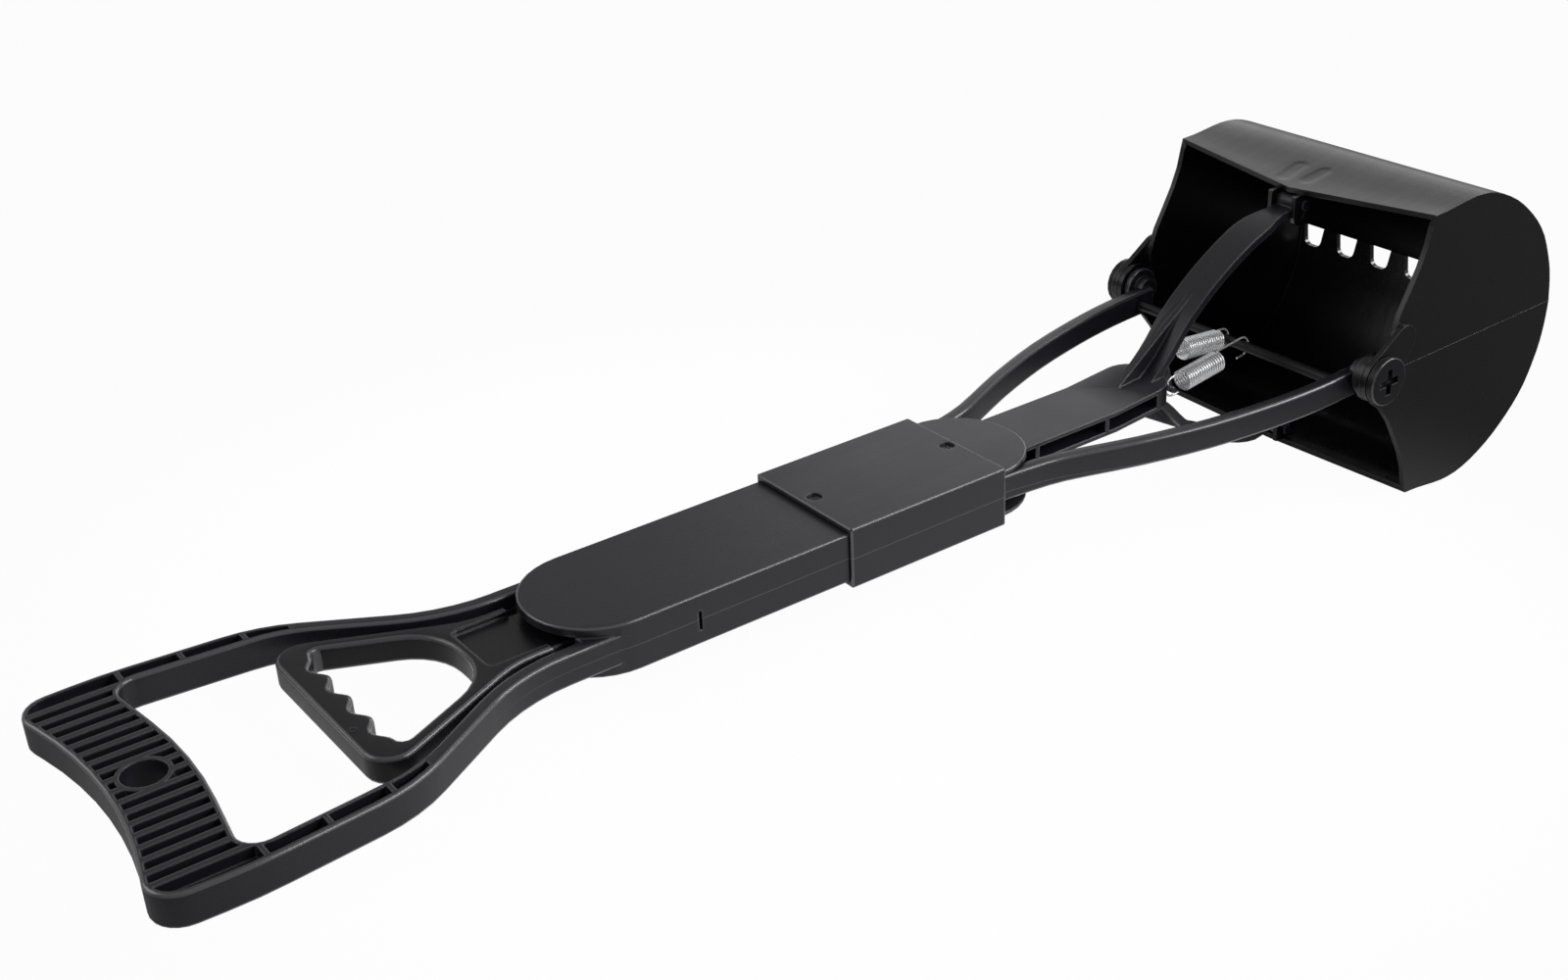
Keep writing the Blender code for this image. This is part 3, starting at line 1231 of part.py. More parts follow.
def spring(name, side, coil_end):
    place = dict(anchor_posts())[side]
    start = Vector((place.x, 0, place.z + wishbone_rise(place.x)))
    end = Vector((CROSSBAR_X, 0, CROSSBAR_Z))
    path = spring_path((start, ANCHOR_POST_RADIUS), (end, CROSSBAR_RADIUS), side * SPRING_OFFSET, coil_end)
    print(name, "least gap between turns in mm:", round(1000 * least_gap(path), 2))
    curve = bpy.data.curves.new(name, "CURVE")
    curve.dimensions = "3D"
    curve.bevel_depth = SPRING_WIRE_RADIUS
    curve.bevel_resolution = 1
    curve.use_fill_caps = True
    spline = curve.splines.new("POLY")
    spline.points.add(len(path) - 1)
    for point, spot in zip(spline.points, path):
        point.co = (*spot, 1)
    wire = bpy.data.objects.new(name, curve)
    CUTTERS.objects.link(wire)
    return solid_from_curve(wire)


def stand_on_floor(tool):
    """Tilts the tool until grip and lower scoop share the floor, and centres it over the origin."""
    bpy.context.view_layer.update()
    graph = bpy.context.evaluated_depsgraph_get()
    spots = []
    for obj in PARTS.objects:
        if obj.type == "MESH":
            shape = obj.evaluated_get(graph)
            spots += [shape.matrix_world @ vertex.co for vertex in shape.data.vertices]
    heel = min(spots, key=lambda spot: (round(spot.x / FIT_GAP), spot.z))
    tilt = -min(atan2(spot.z - heel.z, spot.x - heel.x) for spot in spots if spot.x > SLEEVE_FRONT)
    turn = Matrix.Rotation(-tilt, 3, "Y")
    turned = [turn @ spot for spot in spots]
    middle = (max(spot.x for spot in turned) + min(spot.x for spot in turned)) / 2
    lowest = min(spot.z for spot in turned)
    tool.rotation_euler.y = -tilt
    tool.location = (-middle, 0, -lowest)
    return tilt


def build():
    tool = new_empty("tool_frame", None, (0, 0, 0))
    pull = new_empty("trigger_slide", tool, (PLATE_CENTRE, 0, 0))
    pivot = (0, 0, PIVOT_RISE)
    upper = new_empty("upper_scoop_hinge", tool, pivot)
    lower = new_empty("lower_scoop_hinge", tool, pivot)
    slide_at = (PLATE_CENTRE, 0, 0)
    black = new_material("moulded_black", (0.021, 0.021, 0.023), 0.42, 0)
    dark = new_material("scoop_black", (0.016, 0.015, 0.015), 0.30, 0)
    steel = new_material("spring_steel", (0.74, 0.75, 0.76), 0.24, 1)
    zinc = new_material("screw_steel", (0.10, 0.10, 0.11), 0.35, 1)
    make_part(handle_frame(), black, tool)
    make_part(handle_sleeve(), black, tool)
    make_part(fork_frame(), black, tool)
    make_part(spring_crossbar(), black, tool)
    make_part(sleeve_screw("sleeve_screw_rear", SLEEVE_REAR + SCREW_INSET_REAR), zinc, tool)
    make_part(sleeve_screw("sleeve_screw_front", SLEEVE_FRONT - SCREW_INSET_FRONT), zinc, tool)
    make_part(trigger(), black, pull, slide_at)
    make_part(coupling_key(), steel, pull, slide_at)
    make_part(wishbone(), black, pull, slide_at)
    for name, side in (("upper", 1), ("lower", -1)):
        make_part(link_pin("link_pin_" + name, side), black, pull, (PLATE_CENTRE, 0, -PIVOT_RISE))
    make_part(upper_scoop(), dark, upper)
    make_part(lower_scoop(), dark, lower)
    make_part(pivot_pin("pivot_pin_right", -1), black, tool, (0, 0, -PIVOT_RISE))
    make_part(pivot_pin("pivot_pin_left", 1), black, tool, (0, 0, -PIVOT_RISE))
    make_part(spring("spring_right", -1, "rear"), steel, tool)
    make_part(spring("spring_left", 1, "front"), steel, tool)
    tilt = stand_on_floor(tool)
    print("tilt in radians:", round(tilt, 5), "scoop opening in radians:", round(LINK_TURN, 4))


empty_scene()
PARTS = new_collection("pooper_scooper")
CUTTERS = new_collection("cutters")
build()
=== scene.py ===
"""Looks for a jaw pooper scooper: moulded black plastic handle, scoops and bright springs."""

import json
from math import cos, pi, sin

import bmesh
import bpy
from mathutils import Matrix, Vector


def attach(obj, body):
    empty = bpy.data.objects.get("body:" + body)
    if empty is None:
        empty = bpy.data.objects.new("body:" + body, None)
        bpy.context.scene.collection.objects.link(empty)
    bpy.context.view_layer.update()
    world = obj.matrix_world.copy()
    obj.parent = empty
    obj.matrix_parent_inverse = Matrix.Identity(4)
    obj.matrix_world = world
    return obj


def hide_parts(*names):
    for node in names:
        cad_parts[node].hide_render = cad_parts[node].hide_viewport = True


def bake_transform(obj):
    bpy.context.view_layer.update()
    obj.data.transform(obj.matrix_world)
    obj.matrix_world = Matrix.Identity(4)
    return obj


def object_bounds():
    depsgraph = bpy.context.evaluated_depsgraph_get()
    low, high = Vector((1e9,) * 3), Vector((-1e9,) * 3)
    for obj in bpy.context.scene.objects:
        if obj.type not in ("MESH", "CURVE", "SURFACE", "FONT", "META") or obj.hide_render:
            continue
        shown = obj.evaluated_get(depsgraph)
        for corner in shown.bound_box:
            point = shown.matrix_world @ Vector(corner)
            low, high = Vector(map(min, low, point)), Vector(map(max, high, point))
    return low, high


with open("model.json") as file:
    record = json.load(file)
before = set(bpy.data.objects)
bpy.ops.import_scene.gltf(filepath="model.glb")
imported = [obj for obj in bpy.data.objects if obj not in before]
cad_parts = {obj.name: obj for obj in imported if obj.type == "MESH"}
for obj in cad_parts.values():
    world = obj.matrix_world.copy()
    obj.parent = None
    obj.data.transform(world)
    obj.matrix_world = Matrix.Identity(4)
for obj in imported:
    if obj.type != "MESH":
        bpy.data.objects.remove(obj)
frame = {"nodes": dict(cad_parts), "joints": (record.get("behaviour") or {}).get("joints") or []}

cad_low, cad_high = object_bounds()

# Where the tool stands
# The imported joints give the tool's own axes: the trigger slides straight back along the
# handle, and the scoops' pivot lies a little above the handle's middle plane.
joints = {joint["name"]: joint for joint in frame["joints"]}
PIVOT_RISE = 0.0134
along = -Vector(joints["trigger_pull"]["axis"]).normalized()
across = Vector((0, 1, 0))
upward = along.cross(across).normalized()
tool_axes = Matrix((along, across, upward)).transposed()
pivot = Vector(joints["upper_jaw_swing"]["pos_m"])
tool_origin = pivot - upward * PIVOT_RISE
tool_place = Matrix.Translation(tool_origin) @ tool_axes.to_4x4()


def at(x, y, z):
    """The place at x ahead of the pivot, y across and z above the handle's middle plane."""
    return tool_place @ Vector((x, y, z))


# Camera
# Set from the near end of the grip, looking down the handle at the scoops. Its place and
# its axes are given in the tool's own axes.
CAMERA_PLACE = (-0.635413, -0.543737, 0.367960)
CAMERA_RIGHT = (0.8050463, -0.5916665, -0.0427927)
CAMERA_DOWN = (-0.3055176, -0.3517024, -0.8848528)
CAMERA_FORWARD = (0.5084875, 0.7254214, -0.4639012)
CAMERA_LENS = 45.822
CAMERA_SENSOR = 36.0
CAMERA_NEAREST = 0.02
CAMERA_FARTHEST = 20.0
camera_data = bpy.data.cameras.new("camera")
camera = bpy.data.objects.new("camera", camera_data)
bpy.context.scene.collection.objects.link(camera)
camera_axes = Matrix((CAMERA_RIGHT, -Vector(CAMERA_DOWN), -Vector(CAMERA_FORWARD))).transposed()
camera.matrix_world = tool_place @ Matrix.Translation(CAMERA_PLACE) @ camera_axes.to_4x4()
camera_data.sensor_width = CAMERA_SENSOR
camera_data.lens = CAMERA_LENS
camera_data.clip_start = CAMERA_NEAREST
camera_data.clip_end = CAMERA_FARTHEST
bpy.context.scene.camera = camera


# Handle with its D grip
# One black plastic moulding: ribbed grip bar, two legs and the flat hollow shaft, whose
# round plates cover the trigger's tail. Satin faces with faint flow marks, edges painted
# lighter, partly as wear and partly as a painted highlight, and a raised parting line round
# the shaft, painted lighter as a painted highlight.
class Shade:
    """A socket in a material's node tree, for writing shader sums as plain expressions."""

    def __init__(self, tree, socket):
        self.tree = tree
        self.socket = socket

    def node(self, kind, settings=None, output=0, **inputs):
        """A node of this kind, its settings first, then the values or links of its inputs.

        An input goes by its label, or by i and its number where labels repeat.
        """
        made = self.tree.nodes.new(kind)
        for name, value in (settings or {}).items():
            setattr(made, name, value)
        for name, value in inputs.items():
            label = name.replace("_", " ")
            index = int(name[1:]) if name[1:].isdigit() else label
            target = made.inputs[index]
            if isinstance(value, Shade):
                self.tree.links.new(value.socket, target)
            else:
                target.default_value = value
        return Shade(self.tree, made.outputs[output])

    def sum(self, operation, first, second):
        """A maths node of two values."""
        return self.node("ShaderNodeMath", {"operation": operation}, i0=first, i1=second)

    def __add__(self, other):
        return self.sum("ADD", self, other)

    def __radd__(self, other):
        return self.sum("ADD", other, self)

    def __sub__(self, other):
        return self.sum("SUBTRACT", self, other)

    def __rsub__(self, other):
        return self.sum("SUBTRACT", other, self)

    def __mul__(self, other):
        return self.sum("MULTIPLY", self, other)

    def __rmul__(self, other):
        return self.sum("MULTIPLY", other, self)

    def limited(self, low, high):
        """This value taken from low to high onto nought to one, and clipped there."""
        return self.node("ShaderNodeMapRange", {"interpolation_type": "SMOOTHSTEP"},
                         Value=self, From_Min=low, From_Max=high)

    def blend(self, first, second):
        """A colour between two, by this value."""
        return self.node("ShaderNodeMix", {"data_type": "RGBA"}, output=2,
                         i0=self, i6=first, i7=second)

    def dot(self, direction):
        """The dot product of this vector and a direction."""
        return self.node("ShaderNodeVectorMath", {"operation": "DOT_PRODUCT"}, output="Value",
                         i0=self, i1=direction)

    def length(self):
        """The length of this vector."""
        return self.node("ShaderNodeVectorMath", {"operation": "LENGTH"}, output="Value", i0=self)


POINT_RUN = 1e-9
MARK_HEIGHT_FADE = 0.001
MARK_CORE_SHARE = 0.25


def moulded_mark(place, start, end, breadth, lowest):
    """One on a soft-edged line from start to end, given along and across, above a height."""
    run, drift = end[0] - start[0], end[1] - start[1]
    ahead = place.dot(along) - (along.dot(tool_origin) + start[0])
    beside = place.dot(across) - start[1]
    share = (ahead * run + beside * drift) * (1 / max(run * run + drift * drift, POINT_RUN))
    share = share.node("ShaderNodeClamp", Value=share)
    off = share.node("ShaderNodeCombineXYZ", X=ahead - share * run, Y=beside - share * drift)
    height = place.dot(upward) - upward.dot(tool_origin)
    above = height.limited(lowest - MARK_HEIGHT_FADE, lowest)
    return above * (1.0 - off.length().limited(MARK_CORE_SHARE * breadth, breadth))


CLOUD_SCALE = 38.0
GRAIN_SCALE = 1500.0
FLOW_SCALE = (14.0, 190.0, 90.0)
DUST_SCALE = 700.0
DUST_LEVELS = (0.72, 0.80)
DUST_SHARE = 0.04
DUST_COLOUR = (0.30, 0.29, 0.28, 1.0)
BEVEL_SAMPLES = 4
# Edge mask for the lighter edge colour, partly wear and partly a painted highlight.
EDGE_WEAR_AND_HIGHLIGHT_LEVELS = (0.015, 0.16)
LOWEST_EDGE_WEAR_AND_HIGHLIGHT = 0.35
# Share of the lighter edge colour on rounded-edge strips: a painted highlight.
STRIP_PAINTED_HIGHLIGHT = 0.50
CLOUD_DULL = 0.10
LINES_DULL = 0.05
DUST_DULL = 0.03
MEAN_DULL = 0.05
WEAR_SHINE = 0.12
STRIP_SHINE = 0.22
PARTING_HALF_BREADTH = (0.00008, 0.00030)
PARTING_FADE = (-0.42, -0.33)
# Share of the lighter colour on the parting line: a painted highlight on its ridge.
PARTING_PAINTED_HIGHLIGHT = 0.5
PARTING_HEIGHT = 0.9
STRIP_COAT = 0.95
WORN_COAT = 0.7
COAT_ROUGHNESS = 0.16
BUMP_STRENGTH = 0.55
BUMP_DISTANCE = 0.0002


def plastic(name, colour, worn_and_highlit, *, roughness, specular, grain, edge_radius, flow,
            parting=False, marks=()):
    """Moulded plastic: fine grain, cloudy gloss, faint lines of the melt's flow, and edges painted
    lighter, partly as wear and partly as a painted highlight.

    Each mark has a start and an end along and across the tool, a breadth, the height that it
    lies above and its rise.
    """
    material = bpy.data.materials.new(name)
    material.use_nodes = True
    tree = material.node_tree
    surface = tree.nodes["Principled BSDF"]
    place = Shade(tree, tree.nodes.new("ShaderNodeTexCoord").outputs["Object"])
    cloud = place.node("ShaderNodeTexNoise", Vector=place, Scale=CLOUD_SCALE, Detail=4.0,
                       Roughness=0.55)
    fine = place.node("ShaderNodeTexNoise", Vector=place, Scale=GRAIN_SCALE, Detail=2.0)
    stretched = place.node("ShaderNodeMapping", Vector=place, Scale=FLOW_SCALE)
    lines = place.node("ShaderNodeTexNoise", Vector=stretched, Scale=1.0, Detail=3.0)
    dust = place.node("ShaderNodeTexNoise", Vector=place, Scale=DUST_SCALE, Detail=1.0)
    dust = dust.limited(*DUST_LEVELS)
    soft = place.node("ShaderNodeBevel", {"samples": BEVEL_SAMPLES}, Radius=edge_radius)
    flat = place.node("ShaderNodeNewGeometry", output="Normal")
    edge = (1.0 - soft.dot(flat)).limited(*EDGE_WEAR_AND_HIGHLIGHT_LEVELS)
    edge = edge * (LOWEST_EDGE_WEAR_AND_HIGHLIGHT + (1.0 - LOWEST_EDGE_WEAR_AND_HIGHLIGHT) * cloud)
    strip = place.node("ShaderNodeAttribute", {"attribute_name": "rounded_edge"}, output="Fac")
    # Edges and rounded-edge strips are painted lighter: partly edge wear, partly a painted
    # highlight.
    wear_and_highlight = edge + STRIP_PAINTED_HIGHLIGHT * strip
    height = grain * fine + flow * lines
    if parting:
        level = place.dot(upward) - upward.dot(tool_origin)
        level = place.node("ShaderNodeMath", {"operation": "ABSOLUTE"}, i0=level)
        shaft = (place.dot(along) - along.dot(tool_origin)).limited(*PARTING_FADE)
        seam = shaft * (1.0 - level.limited(*PARTING_HALF_BREADTH))
        # The parting line is painted lighter: a painted highlight on its ridge.
        wear_and_highlight = wear_and_highlight + PARTING_PAINTED_HIGHLIGHT * seam
        height = height + PARTING_HEIGHT * seam
    for start, end, breadth, lowest, rise in marks:
        height = height + rise * moulded_mark(place, start, end, breadth, lowest)
    # Base colour: real dust specks, and the lighter edge colour that is partly a painted highlight.
    tint = (dust * DUST_SHARE).blend(wear_and_highlight.blend((*colour, 1.0), (*worn_and_highlit, 1.0)), DUST_COLOUR)
    dull = roughness - MEAN_DULL + CLOUD_DULL * cloud + LINES_DULL * lines + DUST_DULL * dust
    dull = dull - WEAR_SHINE * edge - STRIP_SHINE * strip
    bump = height.node("ShaderNodeBump", Height=height, Normal=soft,
                       Strength=BUMP_STRENGTH, Distance=BUMP_DISTANCE)
    tree.links.new(tint.socket, surface.inputs["Base Color"])
    tree.links.new(dull.socket, surface.inputs["Roughness"])
    tree.links.new((STRIP_COAT * strip + WORN_COAT * edge).socket, surface.inputs["Coat Weight"])
    tree.links.new(bump.socket, surface.inputs["Normal"])
    surface.inputs["Coat Roughness"].default_value = COAT_ROUGHNESS
    surface.inputs["Specular IOR Level"].default_value = specular
    return material


WELD_DISTANCE = 0.000002
FLAT_ANGLE = 0.002
EDGE_STRIP_BREADTH = 0.0017
EDGE_STRIP_TURN = (0.1, 1.2)
SHARP_ANGLE = 0.9
FLAT_FACE_WEIGHT = 80


def dressed(node, body, material, strip=EDGE_STRIP_BREADTH, shaping=None):
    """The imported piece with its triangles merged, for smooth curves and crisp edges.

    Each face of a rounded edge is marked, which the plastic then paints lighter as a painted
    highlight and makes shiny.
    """
    source = frame["nodes"][node]
    form = bmesh.new()
    form.from_mesh(source.data)
    bmesh.ops.remove_doubles(form, verts=form.verts, dist=WELD_DISTANCE)
    bmesh.ops.dissolve_limit(form, angle_limit=FLAT_ANGLE, verts=form.verts, edges=form.edges)
    if shaping:
        form.transform(tool_place.inverted())
        shaping(form)
        form.transform(tool_place)
        form.normal_update()
    marking = form.faces.layers.float.new("rounded_edge")
    least_turn, most_turn = EDGE_STRIP_TURN
    for face in form.faces:
        longest = sorted(face.edges, key=lambda edge: edge.calc_length())[-2:]
        narrow = len(face.verts) == 4 and face.calc_area() < strip * longest[1].calc_length()
        turned = all(least_turn < edge.calc_face_angle(0.0) < most_turn for edge in longest)
        face[marking] = 1.0 if narrow and turned else 0.0
    bmesh.ops.triangulate(form, faces=[face for face in form.faces if len(face.verts) > 4])
    for face in form.faces:
        face.smooth = True
        face.material_index = 0
    for edge in form.edges:
        edge.smooth = not (len(edge.link_faces) == 2 and edge.calc_face_angle() > SHARP_ANGLE)
    mesh = bpy.data.meshes.new(node + "_moulded")
    form.to_mesh(mesh)
    form.free()
    mesh.materials.clear()
    mesh.materials.append(material)
    piece = bpy.data.objects.new(node + "_moulded", mesh)
    bpy.context.scene.collection.objects.link(piece)
    crisp = piece.modifiers.new("flat faces stay flat", "WEIGHTED_NORMAL")
    crisp.keep_sharp = True
    crisp.weight = FLAT_FACE_WEIGHT
    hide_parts(node)
    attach(piece, body)


handle_black = (0.0098, 0.0094, 0.0146)
# Lighter edge colour: partly wear, partly a painted highlight.
handle_worn_and_highlit = (0.096, 0.094, 0.110)
handle_plastic = plastic("satin_black_plastic", handle_black, handle_worn_and_highlit,
                         roughness=0.33, specular=0.45, grain=0.40, edge_radius=0.0012, flow=0.35,
                         parting=True)
dressed("handle_frame", "handle_and_fork", handle_plastic)

# Sleeve and its screws
# A rectangular plastic collar over the joint of shaft and fork. A short blackened screw
# sits in a round recess near each end.
dressed("handle_sleeve", "handle_and_fork", handle_plastic)
screw_black = plastic("blackened_screw", (0.006, 0.006, 0.006), (0.08, 0.08, 0.08),
                      roughness=0.34, specular=0.4, grain=0.2, edge_radius=0.0002, flow=0.0)
screw_black.node_tree.nodes["Principled BSDF"].inputs["Metallic"].default_value = 0.5
SINK_LEVEL = 0.0109


def sink_head(form):
    """Halves all heights above a level under the head, which leaves it below its rim."""
    for vert in form.verts:
        if vert.co.z > SINK_LEVEL:
            vert.co.z = (vert.co.z + SINK_LEVEL) / 2


for screw in ("sleeve_screw_rear", "sleeve_screw_front"):
    dressed(screw, "handle_and_fork", screw_black, shaping=sink_head)

# Fork
# Shank, round plates and two curved arms, moulded in one. A plain bar crosses it for the
# springs, and a headed pin with a moulded cross is pressed into the end of each arm. Bar
# and pins get a darker, duller copy of the fork's plastic: painted shade.
dressed("fork_frame", "handle_and_fork", handle_plastic)
# A darker copy of the fork's plastic: painted shade on the bar and pins.
pins_in_painted_shade = plastic("painted_shade_dull_plastic", (0.0060, 0.0057, 0.0072), (0.060, 0.059, 0.065),
                      roughness=0.36, specular=0.26, grain=0.40, edge_radius=0.0006, flow=0.2)
dressed("spring_crossbar", "handle_and_fork", pins_in_painted_shade, strip=0.0)
for pin in ("pivot_pin_left", "pivot_pin_right"):
    dressed(pin, "handle_and_fork", pins_in_painted_shade)

# Trigger
# The finger loop with its railed tail, one moulding that slides in the shaft. A flat steel
# key couples it to the wishbone's rod. The gate left a small ringed dimple on its bar.
GATE_PLACE = (-0.4428, -0.0193)
GATE_LOWEST = 0.003
GATE_RING = (GATE_PLACE, GATE_PLACE, 0.0021, GATE_LOWEST, 2.2)
GATE_DIMPLE = (GATE_PLACE, GATE_PLACE, 0.0012, GATE_LOWEST, -2.6)
trigger_plastic = plastic("trigger_black_plastic", (0.0068, 0.0064, 0.0082), (0.080, 0.078, 0.086),
                          roughness=0.27, specular=0.28, grain=0.40, edge_radius=0.0019, flow=0.35,
                          marks=(GATE_RING, GATE_DIMPLE))
dressed("trigger", "trigger_and_wishbone", trigger_plastic)
key_steel = plastic("key_steel", (0.35, 0.35, 0.36), (0.55, 0.55, 0.56),
                    roughness=0.35, specular=0.5, grain=0.2, edge_radius=0.0002, flow=0.0)
key_steel.node_tree.nodes["Principled BSDF"].inputs["Metallic"].default_value = 1.0
dressed("coupling_key", "trigger_and_wishbone", key_steel)

# Wishbone
# A ribbed rod that splits into two curved strips, one to each scoop, with headed link pins
# through their eyes. One moulding, with faint ridges on the foot of the upper strip.
RIDGES = (((-0.0640, 0.0062), (-0.0500, 0.0048)), ((-0.0500, 0.0048), (-0.0365, 0.0006)),
          ((-0.0300, 0.0007), (-0.0242, 0.0013)))
RIDGE_BREADTH = 0.0006
RIDGE_LOWEST = 0.015
RIDGE_RISE = 3.0
ridge_marks = [(start, end, RIDGE_BREADTH, RIDGE_LOWEST, RIDGE_RISE) for start, end in RIDGES]
wishbone_plastic = plastic("wishbone_black_plastic", handle_black, handle_worn_and_highlit,
                           roughness=0.31, specular=0.40, grain=0.40, edge_radius=0.0012, flow=0.35,
                           marks=ridge_marks)
for node in ("wishbone", "link_pin_upper", "link_pin_lower"):
    dressed(node, "trigger_and_wishbone", wishbone_plastic)

# Scoops
# Two thin-walled mouldings, glossier than the handle, that turn on the fork's pins and close
# lip to lip. The lower one's lip is cut into a rake, and the upper one has two sink marks.
SINK_MARKS = (((0.0270, 0.0086), (0.0390, 0.0104)), ((0.0300, -0.0018), (0.0400, -0.0021)))
SINK_BREADTH = 0.0048
SINK_LOWEST = 0.060
SINK_RISE = -1.7
scoop_plastic = plastic("glossy_black_plastic", (0.0040, 0.0033, 0.0034), (0.030, 0.029, 0.030),
                        roughness=0.26, specular=0.40, grain=0.22, edge_radius=0.0006, flow=0.8,
                        marks=[(start, end, SINK_BREADTH, SINK_LOWEST, SINK_RISE)
                               for start, end in SINK_MARKS])
SEAM_HEIGHT = 0.0157
SEAM_REAR = 0.020
SEAM_REACH = 0.0006
SEAM_GAP = 0.00004
HUB_EDGE = 0.0108
HUB_EDGE_REACH = 0.0004
HUB_LIP_REACH = 0.0001
UPPER_HUB_LIP = 0.01398
UPPER_HUB_SHIFT = -0.00054
LOWER_HUB_LIP = 0.01312
LOWER_HUB_SHIFT = 0.00026
SCOOP_MIDDLE = 0.05


def close_seam(form):
    """Brings the lip up to the seam, where the two scoops meet, a hair's breadth apart."""
    side, hub_lip, hub_shift = -1, LOWER_HUB_LIP, LOWER_HUB_SHIFT
    if max(vert.co.z for vert in form.verts) > SCOOP_MIDDLE:
        side, hub_lip, hub_shift = 1, UPPER_HUB_LIP, UPPER_HUB_SHIFT
    for vert in form.verts:
        x, z = vert.co.x, vert.co.z
        if x > SEAM_REAR and abs(z - SEAM_HEIGHT) < SEAM_REACH:
            vert.co.z = SEAM_HEIGHT + side * SEAM_GAP / 2
        elif abs(x - HUB_EDGE) < HUB_EDGE_REACH and abs(z - hub_lip) < HUB_LIP_REACH:
            vert.co.z += hub_shift


dressed("upper_scoop", "upper_jaw", scoop_plastic, shaping=close_seam)
dressed("lower_scoop", "lower_jaw", scoop_plastic, shaping=close_seam)

# Springs
# Bright zinc-plated extension springs, close wound, with a long leg at one end and a short
# one at the other. Their hooks go over the wishbone's throat posts and the crossbar.
WIRE_CLOUD_SCALE = 260.0
WIRE_DARK = (0.78, 0.79, 0.81, 1.0)
WIRE_LIGHT = (0.95, 0.95, 0.96, 1.0)
WIRE_SMOOTHEST = 0.16
WIRE_CLOUD_DULL = 0.14
WIRE_METALLIC = 0.65
spring_wire = bpy.data.materials.new("bright_spring_wire")
spring_wire.use_nodes = True
wire_tree = spring_wire.node_tree
wire_surface = wire_tree.nodes["Principled BSDF"]
wire_place = Shade(wire_tree, wire_tree.nodes.new("ShaderNodeTexCoord").outputs["Object"])
wire_cloud = wire_place.node("ShaderNodeTexNoise", Vector=wire_place, Scale=WIRE_CLOUD_SCALE,
                             Detail=3.0)
wire_tint = wire_cloud.blend(WIRE_DARK, WIRE_LIGHT)
wire_tree.links.new(wire_tint.socket, wire_surface.inputs["Base Color"])
wire_dull = WIRE_SMOOTHEST + WIRE_CLOUD_DULL * wire_cloud
wire_tree.links.new(wire_dull.socket, wire_surface.inputs["Roughness"])
wire_surface.inputs["Metallic"].default_value = WIRE_METALLIC
POST_PLACE = -0.0547
LOWER_POST_RISE = 0.0029117
UPPER_POST_RISE = 0.0130517
COIL_OFFSET = 0.0058
POST_RADIUS = 0.0013
BAR_PLACE = Vector((-0.0090, 0, 0.0094))
BAR_RADIUS = 0.0022
WIRE_RADIUS = 0.00045
WIRE_SIDES = 12
COIL_RADIUS = 0.00435
COIL_TURNS = 16
COIL_PITCH = 0.00137
COIL_STEPS = 36
HOOK_GAP = 0.0003
HOOK_TAIL = 0.0030
REAR_LEG = 0.0055
FRONT_LEG = 0.0030


def spring_route(post, offset, coil_at_rear):
    """The wire's route: hook over the post, leg, close coil, leg, hook over the bar."""
    line = (BAR_PLACE - post).normalized()
    rise = Vector((-line.z, 0, line.x))
    hold = WIRE_RADIUS + HOOK_GAP - COIL_RADIUS
    first = post - line * (POST_RADIUS + hold)
    last = BAR_PLACE + line * (BAR_RADIUS + hold)
    coil_start = REAR_LEG
    if not coil_at_rear:
        coil_start = (last - first).length - COIL_TURNS * COIL_PITCH - FRONT_LEG
    route = [first + line * HOOK_TAIL - rise * COIL_RADIUS]
    for step in range(COIL_STEPS // 2 + 1):
        angle = -pi / 2 - 2 * pi * step / COIL_STEPS
        route.append(first + COIL_RADIUS * (line * cos(angle) + rise * sin(angle)))
    for step in range(COIL_TURNS * COIL_STEPS + 1):
        turn = 2 * pi * step / COIL_STEPS
        ring = COIL_RADIUS * (rise * cos(turn) + across * sin(turn))
        route.append(first + line * (coil_start + COIL_PITCH * step / COIL_STEPS) + ring)
    for step in range(COIL_STEPS // 2 + 1):
        angle = pi / 2 - 2 * pi * step / COIL_STEPS
        route.append(last + COIL_RADIUS * (line * cos(angle) + rise * sin(angle)))
    route.append(last - line * HOOK_TAIL - rise * COIL_RADIUS)
    return [at(*(spot + across * offset)) for spot in route]


